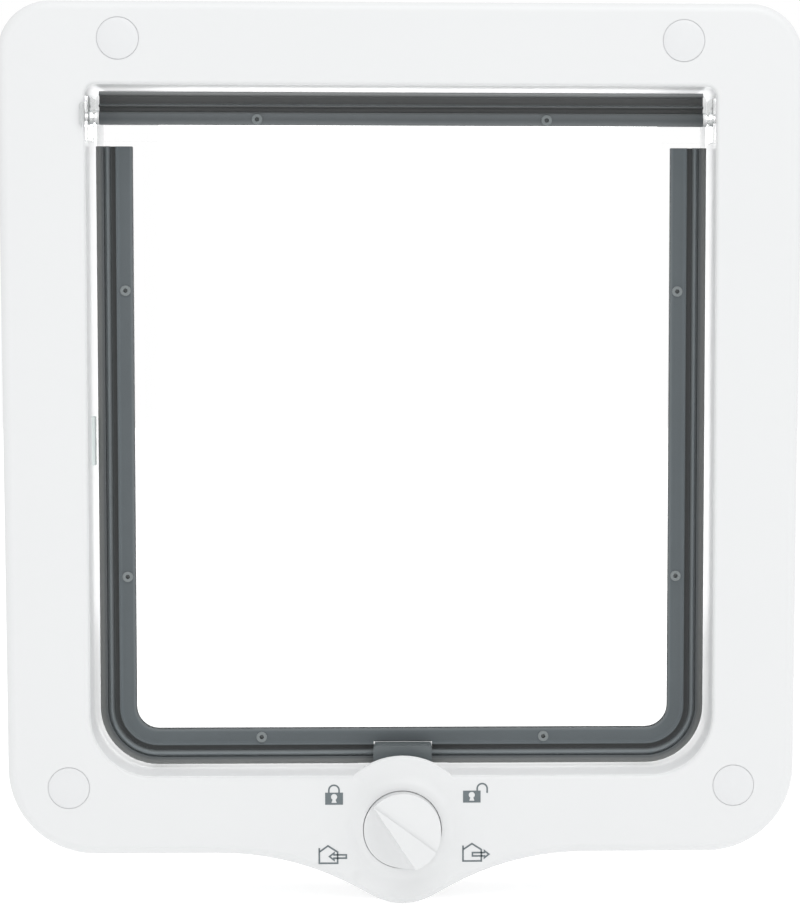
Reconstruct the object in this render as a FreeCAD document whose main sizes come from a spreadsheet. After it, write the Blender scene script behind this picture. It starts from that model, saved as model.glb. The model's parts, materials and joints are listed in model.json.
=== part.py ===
import FreeCAD, Part
import math
import os

import Sketcher

os.makedirs("parts", exist_ok=True)

# Cat flap for a door. Millimetres, +Z up, +Y from indoors to outdoors.
# The origin lies in the middle of the passage, on the indoor face of the door.

doc = FreeCAD.newDocument("CatFlap")
sheet = doc.addObject("Spreadsheet::Sheet", "Sizes")

# Driving sizes
SIZES = {
    "open_half": 118.25,
    "open_up": 130.65,
    "open_corner_top": 4.2,
    "open_corner_low": 23.4,
    "border_side": 32.75,
    "border_top": 31.1,
    "border_foot": 30.15,
    "flange_deep": 12.0,
    "corner_top": 19.8,
    "corner_foot": 33.0,
    "nose_half": 42.2,
    "nose_drop": 23.2,
    "nose_blend": 108.0,
    "nose_round": 24.0,
    "rim_round": 4.0,
    "skin": 2.4,
    "rim_wall": 2.6,
    "mouth_round": 1.5,
    "wall": 2.0,
    "tunnel_back": 24.0,
    "box_half": 40.0,
    "box_drop": 10.0,
    "box_wall": 1.6,
    "cap_radius": 7.7,
    "cap_seat_deep": 2.8,
    "cap_proud": 0.5,
    "screw_head_radius": 4.2,
    "screw_head_deep": 2.6,
    "screw_radius": 2.0,
    "knob_radius": 14.7,
    "knob_tall": 11.0,
    "knob_rise": 10.0,
    "collar_tall": 2.6,
    "shield_radius": 27.6,
    "shield_thick": 2.2,
    "shaft_radius": 4.0,
    "turn_gap": 0.05,
    "cam_radius": 8.4,
    "cam_thick": 2.6,
    "latch_half": 11.2,
    "latch_gap": 0.3,
    "flap_mid": 9.5,
    "pane_thick": 2.0,
    "pane_corner": 17.8,
    "panel_raise": 0.5,
    "lug_radius": 2.7,
    "pin_radius": 1.7,
    "bush_radius": 3.4,
    "seal_wide": 13.7,
    "seal_corner": 22.3,
    "seal_thick": 2.6,
    "notch_gap": 0.4,
    "rivet_hole_radius": 1.25,
    "rivet_head_radius": 2.0,
    "rivet_foot_x": 54.5,
    "block_thick": 1.2,
    "tab_half": 4.5,
    "tab_thick": 0.9,
    "door_thick": 40.0,
    "outer_deep": 10.0,
    "sleeve_gap": 0.3,
    "sleeve_wall": 1.6,
    # Sizes that follow from those above
    "flange_half_top": "open_half + border_side",
    "flange_half_foot": "flange_half_top - 1.3",
    "flange_up": "open_up + border_top",
    "flange_down": "open_up + border_foot",
    "nose_down": "flange_down + nose_drop",
    "cap_x_top": "flange_half_top - 45.25",
    "cap_z_top": "flange_up - 14.15",
    "cap_x_low": "flange_half_foot - 23.25",
    "cap_z_low": "flange_down - 26.05",
    "cap_seat_radius": "cap_radius + 0.3",
    "boss_radius": "cap_seat_radius + 1.9",
    "screw_hole_radius": "screw_radius + 0.3",
    "knob_z": "flange_down - knob_rise",
    "knob_well_radius": "knob_radius + 0.3",
    "collar_top_radius": "knob_well_radius + 1.3",
    "collar_foot_radius": "collar_top_radius + 5.1",
    "latch_top": "open_up - 9.9",
    "rear_top": "latch_top + 1.4",
    "axis_z": "open_up - 11.35",
    "band_half": "open_half - 1.65",
    "band_low": "axis_z - 10.85",
    "band_high": "axis_z - 2.75",
    "pane_half": "open_half - 6.25",
    "pane_foot": "open_up - 10.45",
    "panel_half": "pane_half - 12.4",
    "panel_foot": "pane_foot - 7.2",
    "seal_half": "open_half - 1.75",
    "seal_foot": "open_up - 1.3",
    "seal_top_end": "band_low - 0.1",
    "top_seal_half": "open_half - 3.15",
    "top_seal_up": "open_up - 1.5",
    "top_seal_low": "band_high + 0.1",
    "notch_up": "latch_top - 0.45",
    "rivet_side_x": "seal_half - 10.9",
    "rivet_foot_z": "seal_foot - 10.55",
    "rivet_high_z": "open_up - 77.1",
    "rivet_low_z": "open_up - 74.3",
    "rivet_top_x": "rivet_foot_x + 0.7",
    "rivet_top_z": "axis_z - 0.6",
    "block_in": "open_half - block_thick",
    "block_up": "axis_z + 7",
    "block_low": "axis_z - 9.3",
    "block_back": "flap_mid + 6.1",
    "pin_end": "open_half + 2.65",
    "tab_out": "open_half + 1.9",
    "sleeve_start": "tunnel_back - 7",
}
row = 0
for name in SIZES:
    row += 1
    sheet.set("A%d" % row, name)
    sheet.setAlias("B%d" % row, name)
    if isinstance(SIZES[name], str):
        sheet.set("B%d" % row, "=" + SIZES[name])
    else:
        sheet.set("B%d" % row, str(SIZES[name]))
doc.recompute()


class Size:
    """A length with its present value and the expression that gives it."""

    def __init__(self, value, text):
        self.value = float(value)
        self.text = text

    def __add__(self, other):
        other = as_size(other)
        return Size(self.value + other.value, "(%s + %s)" % (self.text, other.text))

    def __sub__(self, other):
        other = as_size(other)
        return Size(self.value - other.value, "(%s - %s)" % (self.text, other.text))

    def __rsub__(self, other):
        return as_size(other) - self

    def __radd__(self, other):
        return as_size(other) + self

    def __mul__(self, factor):
        factor = as_size(factor)
        return Size(self.value * factor.value, "(%s * %s)" % (self.text, factor.text))

    def __neg__(self):
        return Size(-self.value, "(-1 * %s)" % self.text)


def as_size(value):
    """Return the value as a Size."""
    if isinstance(value, Size):
        return value
    return Size(value, "(%.6f)" % float(value))


def named(name):
    """Return the Size of one cell of the sheet."""
    return Size(sheet.get(name), "Sizes." + name)


class Names:
    """Every driving size as an attribute."""

    def __getattr__(self, name):
        return named(name)


S = Names()


def bind(item, prop, size):
    """Drive one property of a feature by a size."""
    size = as_size(size)
    item.setExpression(prop, size.text)


def origin_plane(body, role):
    """Return one origin plane of a body."""
    for feature in body.Origin.OriginFeatures:
        if feature.Role == role:
            return feature
    raise ValueError(role)


def new_body(name):
    """Return a new body with its label."""
    body = doc.addObject("PartDesign::Body", "Body_" + name)
    body.Label = name
    return body


def new_sketch(body, name, role, offset):
    """Return a sketch on an origin plane of the body, moved along its normal."""
    sketch = body.newObject("Sketcher::SketchObject", name)
    sketch.AttachmentSupport = [(origin_plane(body, role), "")]
    sketch.MapMode = "FlatFace"
    offset = as_size(offset)
    sketch.AttachmentOffset = FreeCAD.Placement(FreeCAD.Vector(0, 0, offset.value), FreeCAD.Rotation())
    sketch.setExpression("AttachmentOffset.Base.z", offset.text)
    return sketch


def fix_point(sketch, geometry, place, across, up):
    """Hold one point of a sketch at the given distances from its origin."""
    for kind, size, axis in (("DistanceX", across, -2), ("DistanceY", up, -1)):
        size = as_size(size)
        if abs(size.value) < 1e-9:
            sketch.addConstraint(Sketcher.Constraint("PointOnObject", geometry, place, axis))
            continue
        index = sketch.addConstraint(
            Sketcher.Constraint(kind, -1, 1, geometry, place, size.value)
        )
        sketch.setExpression("Constraints[%d]" % index, size.text)


def draw_polygon(sketch, corners):
    """Draw a closed loop of straight lines through corners given as (across, up)."""
    first = sketch.GeometryCount
    count = len(corners)
    points = []
    for across, up in corners:
        points.append(FreeCAD.Vector(as_size(across).value, as_size(up).value, 0))
    for i in range(count):
        sketch.addGeometry(Part.LineSegment(points[i], points[(i + 1) % count]), False)
    for i in range(count):
        following = first + (i + 1) % count
        sketch.addConstraint(Sketcher.Constraint("Coincident", first + i, 2, following, 1))
    for i in range(count):
        fix_point(sketch, first + i, 1, corners[i][0], corners[i][1])


def draw_circle(sketch, across, up, radius):
    """Draw a circle."""
    across, up, radius = as_size(across), as_size(up), as_size(radius)
    centre = FreeCAD.Vector(across.value, up.value, 0)
    circle = Part.Circle(centre, FreeCAD.Vector(0, 0, 1), radius.value)
    geometry = sketch.addGeometry(circle, False)
    fix_point(sketch, geometry, 3, across, up)
    index = sketch.addConstraint(Sketcher.Constraint("Radius", geometry, radius.value))
    sketch.setExpression("Constraints[%d]" % index, radius.text)


class Rounded:
    """A rectangle about the upright axis with one radius for its lower and one for its upper corners."""

    def __init__(self, half, up, low_radius, top_radius):
        self.half = as_size(half)
        self.up = as_size(up)
        self.low_radius = as_size(low_radius)
        self.top_radius = as_size(top_radius)

    def draw(self, sketch):
        """Draw the outline from tangent points and arcs."""
        half, up, low, top = self.half, self.up, self.low_radius, self.top_radius
        ends = (
            (-half + low, -up), (half - low, -up), (half, -up + low), (half, up - top),
            (half - top, up), (-half + top, up), (-half, up - top), (-half, -up + low),
        )
        middles = (
            (half - low, -up + low, low), (half - top, up - top, top),
            (-half + top, up - top, top), (-half + low, -up + low, low),
        )
        points = [FreeCAD.Vector(a.value, b.value, 0) for a, b in ends]
        first = sketch.GeometryCount
        quarter = math.pi / 2
        for i in range(4):
            sketch.addGeometry(Part.LineSegment(points[2 * i], points[2 * i + 1]), False)
            across, high, radius = middles[i]
            centre = FreeCAD.Vector(across.value, high.value, 0)
            circle = Part.Circle(centre, FreeCAD.Vector(0, 0, 1), radius.value)
            start = (3 + i) * quarter
            sketch.addGeometry(Part.ArcOfCircle(circle, start, start + quarter), False)
        for i in range(4):
            line = first + 2 * i
            arc = line + 1
            following = first + (2 * i + 2) % 8
            sketch.addConstraint(Sketcher.Constraint("Coincident", line, 2, arc, 1))
            sketch.addConstraint(Sketcher.Constraint("Coincident", arc, 2, following, 1))
        for i in range(4):
            line = first + 2 * i
            fix_point(sketch, line, 1, ends[2 * i][0], ends[2 * i][1])
            fix_point(sketch, line, 2, ends[2 * i + 1][0], ends[2 * i + 1][1])
            radius = middles[i][2]
            index = sketch.addConstraint(Sketcher.Constraint("Radius", line + 1, radius.value))
            sketch.setExpression("Constraints[%d]" % index, radius.text)


def draw_loop(sketch, loop):
    """Draw one loop: a rounded outline, a circle given by three sizes, or a polygon."""
    if isinstance(loop, Rounded):
        loop.draw(sketch)
    elif len(loop) == 3:
        draw_circle(sketch, loop[0], loop[1], loop[2])
    else:
        draw_polygon(sketch, loop)


def rectangle(left, right, low, high):
    """Return the corners of a rectangle."""
    return [(left, low), (right, low), (right, high), (left, high)]


def slab(body, name, loops, back, deep):
    """Pad loops drawn in the XZ plane from y = back towards indoors by deep."""
    sketch = new_sketch(body, name + "_outline", "XZ_Plane", -as_size(back))
    for loop in loops:
        draw_loop(sketch, loop)
    pad = body.newObject("PartDesign::Pad", name)
    pad.Profile = sketch
    bind(pad, "Length", deep)
    sketch.Visibility = False
    doc.recompute()
    return pad


def cut(body, name, loops, front, deep):
    """Pocket loops drawn in the XZ plane from y = front towards outdoors by deep."""
    sketch = new_sketch(body, name + "_outline", "XZ_Plane", -as_size(front))
    for loop in loops:
        draw_loop(sketch, loop)
    before = body.Shape.Volume
    pocket = body.newObject("PartDesign::Pocket", name)
    pocket.Profile = sketch
    bind(pocket, "Length", deep)
    sketch.Visibility = False
    doc.recompute()
    if not body.Shape.Volume < before:
        raise RuntimeError(name + " removes nothing")
    return pocket


def place(item, base, turn=None):
    """Place a primitive by three sizes and a fixed rotation."""
    rotation = turn or FreeCAD.Rotation()
    values = [as_size(part) for part in base]
    item.Placement = FreeCAD.Placement(
        FreeCAD.Vector(values[0].value, values[1].value, values[2].value), rotation
    )
    for axis, size in zip("xyz", values):
        item.setExpression("Placement.Base." + axis, size.text)


ALONG_Y = FreeCAD.Rotation(FreeCAD.Vector(1, 0, 0), -90)
ALONG_X = FreeCAD.Rotation(FreeCAD.Vector(0, 1, 0), 90)


def body_box(body, name, kind, spans):
    """Add or take away a box given as ((x0, x1), (y0, y1), (z0, z1))."""
    item = body.newObject("PartDesign::%sBox" % kind, name)
    for prop, span in zip(("Length", "Width", "Height"), spans):
        bind(item, prop, as_size(span[1]) - as_size(span[0]))
    place(item, [span[0] for span in spans])
    doc.recompute()
    return item


def body_rod(body, name, kind, base, length, radius, turn):
    """Add or take away a cylinder."""
    item = body.newObject("PartDesign::%sCylinder" % kind, name)
    bind(item, "Radius", radius)
    bind(item, "Height", length)
    place(item, base, turn)
    doc.recompute()
    return item


def pick_edges(feature, test):
    """Return the names of the edges that pass a test."""
    names = []
    for i, edge in enumerate(feature.Shape.Edges):
        if test(edge):
            names.append("Edge%d" % (i + 1))
    if not names:
        raise RuntimeError("no edge found on " + feature.Name)
    return names


def is_along(edge, axis):
    """Say whether a straight edge runs along an axis (0, 1 or 2)."""
    if edge.Curve.TypeId != "Part::GeomLine":
        return False
    way = edge.Curve.Direction
    return abs(abs(way[axis]) - 1) < 1e-6


def round_edges(body, name, base, names, radius):
    """Fillet named edges of the last feature."""
    item = body.newObject("PartDesign::Fillet", name)
    item.Base = (base, names)
    bind(item, "Radius", radius)
    doc.recompute()
    return item


def free_box(name, spans):
    """Return a plain box given as ((x0, x1), (y0, y1), (z0, z1))."""
    item = doc.addObject("Part::Box", name)
    for prop, span in zip(("Length", "Width", "Height"), spans):
        bind(item, prop, as_size(span[1]) - as_size(span[0]))
    place(item, [span[0] for span in spans])
    return item


def free_rod(name, base, length, radius, turn):
    """Return a plain cylinder."""
    item = doc.addObject("Part::Cylinder", name)
    bind(item, "Radius", radius)
    bind(item, "Height", length)
    place(item, base, turn)
    return item


def free_cone(name, base, length, foot, top, turn):
    """Return a plain cone."""
    item = doc.addObject("Part::Cone", name)
    bind(item, "Radius1", foot)
    bind(item, "Radius2", top)
    bind(item, "Height", length)
    place(item, base, turn)
    return item


def fuse(name, items):
    """Return the union of several shapes."""
    item = doc.addObject("Part::MultiFuse", name)
    item.Shapes = items
    doc.recompute()
    return item


def take(name, base, tool):
    """Return one shape less another."""
    item = doc.addObject("Part::Cut", name)
    item.Base = base
    item.Tool = tool
    doc.recompute()
    return item


def gather(name, items):
    """Return a compound of separate solids."""
    item = doc.addObject("Part::Compound", name)
    item.Links = items
    doc.recompute()
    return item


FRONT = -S.flange_deep
INNER = FRONT + S.skin
BACK = S.door_thick
SCREWS = (
    (-S.cap_x_top, S.cap_z_top),
    (S.cap_x_top, S.cap_z_top),
    (-S.cap_x_low, -S.cap_z_low),
    (S.cap_x_low, -S.cap_z_low),
)
RIVETS = (
    (-S.rivet_side_x, S.rivet_high_z),
    (S.rivet_side_x, S.rivet_high_z),
    (-S.rivet_side_x, -S.rivet_low_z),
    (S.rivet_side_x, -S.rivet_low_z),
    (-S.rivet_foot_x, -S.rivet_foot_z),
    (S.rivet_foot_x, -S.rivet_foot_z),
    (-S.rivet_top_x, S.rivet_top_z),
    (S.rivet_top_x, S.rivet_top_z),
)
parts = []


def at_height(edge, wanted):
    """Say whether an edge's middle lies at a height."""
    return abs(edge.CenterOfMass.z - wanted) < 0.01


def face_edges(feature, y, inside):
    """Return the edges lying in the plane at y, those round the passage or those round the rim."""
    names = []
    for i, edge in enumerate(feature.Shape.Edges):
        box = edge.BoundBox
        if abs(box.YMin - y) > 1e-4 or abs(box.YMax - y) > 1e-4:
            continue
        middle = edge.CenterOfMass
        near = abs(middle.x) < S.open_half.value + 0.5 and abs(middle.z) < S.open_up.value + 0.5
        if near == inside:
            names.append("Edge%d" % (i + 1))
    return names


# Indoor frame
def flange_outline(inset, nose):
    """Return the flange outline, drawn in by an inset, with or without the nose below the knob."""
    top = S.flange_half_top - inset
    foot = S.flange_half_foot - inset
    low = -(S.flange_down - inset)
    high = S.flange_up - inset
    corners = [(-foot, low)]
    if nose:
        tip = -(S.nose_down - inset * 1.13)
        corners += [(-(S.nose_half - inset * 0.24), low), (0, tip), (S.nose_half - inset * 0.24, low)]
    corners += [(foot, low), (top, high), (-top, high)]
    return corners


def hollow_outline(inset, nose):
    """Return the outline of the hollow behind the flange skin, its corners cut by short chords."""
    top = S.flange_half_top - inset
    foot = S.flange_half_foot - inset
    low = -(S.flange_down - inset)
    high = S.flange_up - inset
    foot_round = S.corner_foot - inset
    top_round = S.corner_top - inset
    right = []
    for angle in (0, 22.5, 45, 67.5, 90):
        near = 1 - math.sin(math.radians(angle))
        far = 1 - math.cos(math.radians(angle))
        right.append((foot - foot_round * near, low + foot_round * far))
    for angle in (0, 22.5, 45, 67.5, 90):
        near = 1 - math.cos(math.radians(angle))
        far = 1 - math.sin(math.radians(angle))
        right.append((top - top_round * near, high - top_round * far))
    corners = []
    if nose:
        side = S.nose_half - inset * 0.24
        end = -(S.nose_down - inset * 1.13) + (S.nose_down - S.flange_down) * 0.2
        corners += [(-side, low), (-side * 0.2, end), (side * 0.2, end), (side, low)]
    corners += right
    for across, up in reversed(right):
        corners.append((-across, up))
    return corners


def round_outline(body, base, prefix, inset, nose):
    """Round the upright corners of a flange-shaped feature."""
    high = S.flange_up.value - inset.value
    low = S.flange_down.value - inset.value
    half = S.flange_half_foot.value - inset.value

    def top_corner(edge):
        """Upper outer corners."""
        return is_along(edge, 1) and abs(edge.CenterOfMass.z - high) < 0.01

    def foot_corner(edge):
        """Lower outer corners."""
        middle = edge.CenterOfMass
        return is_along(edge, 1) and abs(middle.z + low) < 0.01 and abs(abs(middle.x) - half) < 0.01

    def nose_root(edge):
        """Where the nose leaves the straight lower edge."""
        middle = edge.CenterOfMass
        return is_along(edge, 1) and abs(middle.z + low) < 0.01 and abs(middle.x) < half - 20

    def nose_tip(edge):
        """Tip of the nose."""
        middle = edge.CenterOfMass
        return is_along(edge, 1) and abs(middle.x) < 0.01 and middle.z < -low - 5

    base = round_edges(body, prefix + "_top", base, pick_edges(base, top_corner), S.corner_top - inset)
    base = round_edges(body, prefix + "_foot", base, pick_edges(base, foot_corner), S.corner_foot - inset)
    if nose:
        base = round_edges(body, prefix + "_blend", base, pick_edges(base, nose_root), S.nose_blend)
        base = round_edges(body, prefix + "_tip", base, pick_edges(base, nose_tip), S.nose_round)
    return base


indoor = new_body("indoor_frame")
step = slab(indoor, "FlangePlate", [flange_outline(as_size(0), True)], 0, S.flange_deep)
step = round_outline(indoor, step, "Flange", as_size(0), True)
step = round_edges(indoor, "FlangeRim", step, face_edges(step, FRONT.value, False), S.rim_round)
def passage_loop(out):
    """Return the outline of the passage, moved outwards."""
    return Rounded(S.open_half + out, S.open_up + out, S.open_corner_low + out, S.open_corner_top + out)


tube = passage_loop(S.wall)
hollow = hollow_outline(S.rim_wall, True)
step = cut(indoor, "Hollow", [hollow, tube], INNER, S.flange_deep)
step = slab(indoor, "Tunnel", [tube], S.tunnel_back, S.tunnel_back)
passage = passage_loop(as_size(0))
step = cut(indoor, "Passage", [passage], FRONT - 1, S.flange_deep + S.tunnel_back + 2)
step = round_edges(indoor, "FlangeMouth", step, face_edges(step, FRONT.value, True), S.mouth_round)

bosses = [(x, z, S.boss_radius) for x, z in SCREWS]
slab(indoor, "Bosses", bosses, 0, S.flange_deep - S.skin)
seats = [(x, z, S.cap_seat_radius) for x, z in SCREWS]
cut(indoor, "CapSeats", seats, FRONT - 1, S.cap_seat_deep + 1)
heads = [(x, z, S.screw_head_radius + 0.3) for x, z in SCREWS]
cut(indoor, "HeadSeats", heads, FRONT, S.cap_seat_deep + S.screw_head_deep)
holes = [(x, z, S.screw_hole_radius) for x, z in SCREWS]
cut(indoor, "ScrewHoles", holes, FRONT, S.flange_deep + 1)

rib_half = 0.8
for number, height in enumerate((84.0, 30.0, -30.0, -84.0)):
    for side in (-1, 1):
        inner = (S.open_half + S.wall - 0.5) * side
        outer = (S.flange_half_foot - S.rim_wall + 0.8) * side
        across = (outer, inner) if side < 0 else (inner, outer)
        name = "Rib%d%s" % (number, "L" if side < 0 else "R")
        body_box(indoor, name, "Additive", (across, (INNER - 0.5, -3.0), (height - rib_half, height + rib_half)))
for number, across in enumerate((-62.0, 0.0, 62.0)):
    span = (across - rib_half, across + rib_half)
    tall = (S.open_up + S.wall - 0.5, S.flange_up - S.rim_wall + 0.5)
    body_box(indoor, "RibTop%d" % number, "Additive", (span, (INNER - 0.5, -3.0), tall))
for number, across in enumerate((-84.0, -52.0, 52.0, 84.0)):
    span = (across - rib_half, across + rib_half)
    tall = (-(S.flange_down - S.rim_wall + 0.5), -(S.open_up + S.wall - 0.5))
    body_box(indoor, "RibFoot%d" % number, "Additive", (span, (INNER - 0.5, -3.0), tall))

sill_low = -(S.open_up + S.wall)
box_low = sill_low - S.box_drop
body_box(
    indoor, "SillBox", "Additive",
    ((-S.box_half, S.box_half), (0, S.tunnel_back), (box_low, sill_low + 0.5)),
)
body_box(
    indoor, "SillBoxHollow", "Subtractive",
    (
        (-(S.box_half - S.box_wall), S.box_half - S.box_wall),
        (-1, S.tunnel_back - S.box_wall),
        (box_low + S.box_wall, sill_low),
    ),
)
LATCH_FRONT = as_size(-3.6)
LATCH_BACK = S.flap_mid - 4.3
REAR_FRONT = S.flap_mid + 4.3
REAR_BACK = S.flap_mid + 10.6
slot_half = S.latch_half + S.latch_gap
body_box(
    indoor, "FrontSlot", "Subtractive",
    (
        (-slot_half, slot_half),
        (LATCH_FRONT - S.latch_gap, LATCH_BACK + S.latch_gap),
        (sill_low - 0.5, sill_low + S.wall + 0.5),
    ),
)
body_box(
    indoor, "RearSlot", "Subtractive",
    (
        (-slot_half, slot_half),
        (REAR_FRONT - S.latch_gap, REAR_BACK + S.latch_gap),
        (sill_low - 0.5, sill_low + S.wall + 0.5),
    ),
)
for side in (-1, 1):
    start = S.open_half - 1 if side > 0 else -(S.open_half + S.wall + 1)
    body_rod(
        indoor, "BushHole" + ("L" if side < 0 else "R"), "Subtractive",
        (start, S.flap_mid, S.axis_z), S.wall + 2, S.bush_radius + S.turn_gap, ALONG_X,
    )
collar = indoor.newObject("PartDesign::AdditiveCone", "Collar")
bind(collar, "Radius1", S.collar_foot_radius)
bind(collar, "Radius2", S.collar_top_radius)
bind(collar, "Height", S.collar_tall + 0.2)
place(collar, (0, FRONT + 0.2, -S.knob_z), FreeCAD.Rotation(FreeCAD.Vector(1, 0, 0), 90))
doc.recompute()
EDGE = 0.6
body_rod(
    indoor, "Shield", "Additive", (0, FRONT + EDGE, -S.knob_z),
    S.shield_thick - EDGE, S.shield_radius, ALONG_Y,
)
face = indoor.newObject("PartDesign::AdditiveCone", "ShieldFace")
bind(face, "Radius1", S.shield_radius - EDGE)
bind(face, "Radius2", S.shield_radius)
bind(face, "Height", EDGE)
place(face, (0, FRONT, -S.knob_z), ALONG_Y)
doc.recompute()
body_rod(
    indoor, "KnobWell", "Subtractive", (0, FRONT - S.collar_tall - 1, -S.knob_z),
    S.collar_tall + 1, S.knob_well_radius, ALONG_Y,
)
body_rod(
    indoor, "ShaftHole", "Subtractive", (0, FRONT - 1, -S.knob_z),
    S.skin + S.shield_thick + 2, S.shaft_radius + S.turn_gap, ALONG_Y,
)
POST_X = as_size(26.0)
POST_Z = -S.knob_z + 2.0
COVER_THICK = as_size(1.6)
for side in (-1, 1):
    tag = "L" if side < 0 else "R"
    body_rod(
        indoor, "Post" + tag, "Additive", (POST_X * side, INNER - 0.5, POST_Z),
        -INNER - COVER_THICK + 0.5, 2.8, ALONG_Y,
    )
    body_rod(
        indoor, "PostHole" + tag, "Subtractive", (POST_X * side, -8.0, POST_Z),
        8.0, 0.95, ALONG_Y,
    )
    span = (13.0, 16.0) if side > 0 else (-16.0, -13.0)
    body_box(
        indoor, "SpringSeat" + tag, "Additive",
        (span, (INNER - 0.5, -2.0), (-S.knob_z - 14.0, -S.knob_z - 10.6)),
    )
parts.append(indoor)

# Outdoor frame
outdoor = new_body("outdoor_frame")
OUT_FACE = BACK + S.outer_deep
step = slab(outdoor, "OuterPlate", [flange_outline(as_size(0), False)], OUT_FACE, S.outer_deep)
step = round_outline(outdoor, step, "Outer", as_size(0), False)
step = round_edges(outdoor, "OuterRim", step, face_edges(step, OUT_FACE.value, False), S.rim_round)
sleeve_half = S.open_half + S.wall + S.sleeve_gap + S.sleeve_wall
sleeve_up = S.open_up + S.wall + S.sleeve_gap + S.sleeve_wall
sleeve = passage_loop(S.wall + S.sleeve_gap + S.sleeve_wall)
before = outdoor.Shape.Volume
sketch = new_sketch(outdoor, "OuterHollow_outline", "XZ_Plane", -BACK)
draw_polygon(sketch, hollow_outline(S.rim_wall, False))
sleeve.draw(sketch)
pocket = outdoor.newObject("PartDesign::Pocket", "OuterHollow")
pocket.Profile = sketch
bind(pocket, "Length", S.outer_deep - S.skin)
sketch.Visibility = False
doc.recompute()
if not outdoor.Shape.Volume < before:
    raise RuntimeError("OuterHollow removes nothing")
step = slab(outdoor, "Sleeve", [sleeve], BACK, BACK - S.sleeve_start)
LIP = S.tunnel_back + S.sleeve_gap
step = cut(outdoor, "OuterPassage", [passage], LIP, OUT_FACE - LIP + 1)
rebate = passage_loop(S.wall + S.sleeve_gap)
step = cut(outdoor, "Rebate", [rebate], S.sleeve_start - 1, LIP - S.sleeve_start + 1)
step = round_edges(outdoor, "OuterMouth", step, face_edges(step, OUT_FACE.value, True), S.mouth_round)
body_box(
    outdoor, "SillBoxGap", "Subtractive",
    (
        (-(S.box_half + 0.5), S.box_half + 0.5),
        (S.sleeve_start - 1, LIP),
        (-sleeve_up - 1, -(S.open_up + 0.2)),
    ),
)
sockets = [(x, z, 6.0) for x, z in SCREWS]
slab(outdoor, "Sockets", sockets, OUT_FACE - S.skin, S.outer_deep - S.skin)
taps = [(x, z, S.screw_radius + S.turn_gap) for x, z in SCREWS]
cut(outdoor, "SocketHoles", taps, BACK - 1, 7.5)
for number, height in enumerate((84.0, 30.0, -30.0, -84.0)):
    for side in (-1, 1):
        inner = (sleeve_half - 0.5) * side
        outer = (S.flange_half_foot - S.rim_wall + 0.8) * side
        across = (outer, inner) if side < 0 else (inner, outer)
        name = "OuterRib%d%s" % (number, "L" if side < 0 else "R")
        body_box(
            outdoor, name, "Additive",
            (across, (BACK + 3.0, OUT_FACE - S.skin + 0.5), (height - rib_half, height + rib_half)),
        )
parts.append(outdoor)

# Screw caps
caps = []
for number, (x, z) in enumerate(SCREWS):
    rod = free_rod(
        "CapDisc%d" % number, (x, FRONT - S.cap_proud + 0.5, z),
        S.cap_seat_deep + S.cap_proud - 0.5, S.cap_radius, ALONG_Y,
    )
    dome = free_cone(
        "CapDome%d" % number, (x, FRONT - S.cap_proud + 0.5, z), 0.5,
        S.cap_radius, S.cap_radius - 1.6, FreeCAD.Rotation(FreeCAD.Vector(1, 0, 0), 90),
    )
    whole = fuse("CapWhole%d" % number, [rod, dome])
    hollow_rod = free_rod(
        "CapHollow%d" % number, (x, FRONT + 1.2, z), S.cap_seat_deep, S.cap_radius - 1.4, ALONG_Y
    )
    caps.append(take("Cap%d" % number, whole, hollow_rod))
cap_group = gather("ScrewCaps", caps)
cap_group.Label = "screw_caps"
parts.append(cap_group)

# Fixing screws
screws = []
HEAD_BACK = FRONT + S.cap_seat_deep + S.screw_head_deep
for number, (x, z) in enumerate(SCREWS):
    head = free_rod(
        "ScrewHead%d" % number, (x, HEAD_BACK - 2.4, z), 2.4, S.screw_head_radius, ALONG_Y
    )
    shank = free_rod(
        "ScrewShank%d" % number, (x, HEAD_BACK - 0.4, z), BACK - HEAD_BACK + 5.4, S.screw_radius, ALONG_Y
    )
    whole = fuse("ScrewWhole%d" % number, [head, shank])
    wide = free_box(
        "ScrewCrossA%d" % number,
        ((x - 2.4, x + 2.4), (HEAD_BACK - 3.0, HEAD_BACK - 1.2), (z - 0.5, z + 0.5)),
    )
    tall = free_box(
        "ScrewCrossB%d" % number,
        ((x - 0.5, x + 0.5), (HEAD_BACK - 3.0, HEAD_BACK - 1.2), (z - 2.4, z + 2.4)),
    )
    cross = fuse("ScrewCross%d" % number, [wide, tall])
    screws.append(take("Screw%d" % number, whole, cross))
screw_group = gather("FixingScrews", screws)
screw_group.Label = "fixing_screws"
parts.append(screw_group)

# Flap pane
PANE_FRONT = S.flap_mid - S.pane_thick * 0.5
PANE_BACK = S.flap_mid + S.pane_thick * 0.5
pane = new_body("flap_pane")
step = slab(
    pane, "Pane", [rectangle(-S.pane_half, S.pane_half, -S.pane_foot, S.band_low + 1)],
    PANE_BACK, S.pane_thick,
)


def pane_corner(edge):
    """Lower corners of the pane."""
    return is_along(edge, 1) and at_height(edge, -S.pane_foot.value)


step = round_edges(pane, "PaneCorners", step, pick_edges(step, pane_corner), S.pane_corner)
top_line = S.top_seal_up - 0.6
slab(
    pane, "HingeBand", [rectangle(-S.band_half, S.band_half, S.band_low, S.band_high)],
    PANE_BACK, S.pane_thick,
)
slab(
    pane, "TopTongue", [rectangle(-S.top_seal_half, S.top_seal_half, S.band_high - 1, top_line)],
    PANE_BACK, S.pane_thick,
)
step = slab(
    pane, "RaisedPanel", [rectangle(-S.panel_half, S.panel_half, -S.panel_foot, S.band_low - 2)],
    PANE_FRONT + 0.3, S.panel_raise + 0.3,
)


def panel_corner(edge):
    """Lower corners of the raised panel."""
    middle = edge.CenterOfMass
    near = abs(abs(middle.x) - S.panel_half.value) < 0.01
    return is_along(edge, 1) and near and at_height(edge, -S.panel_foot.value)


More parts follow.
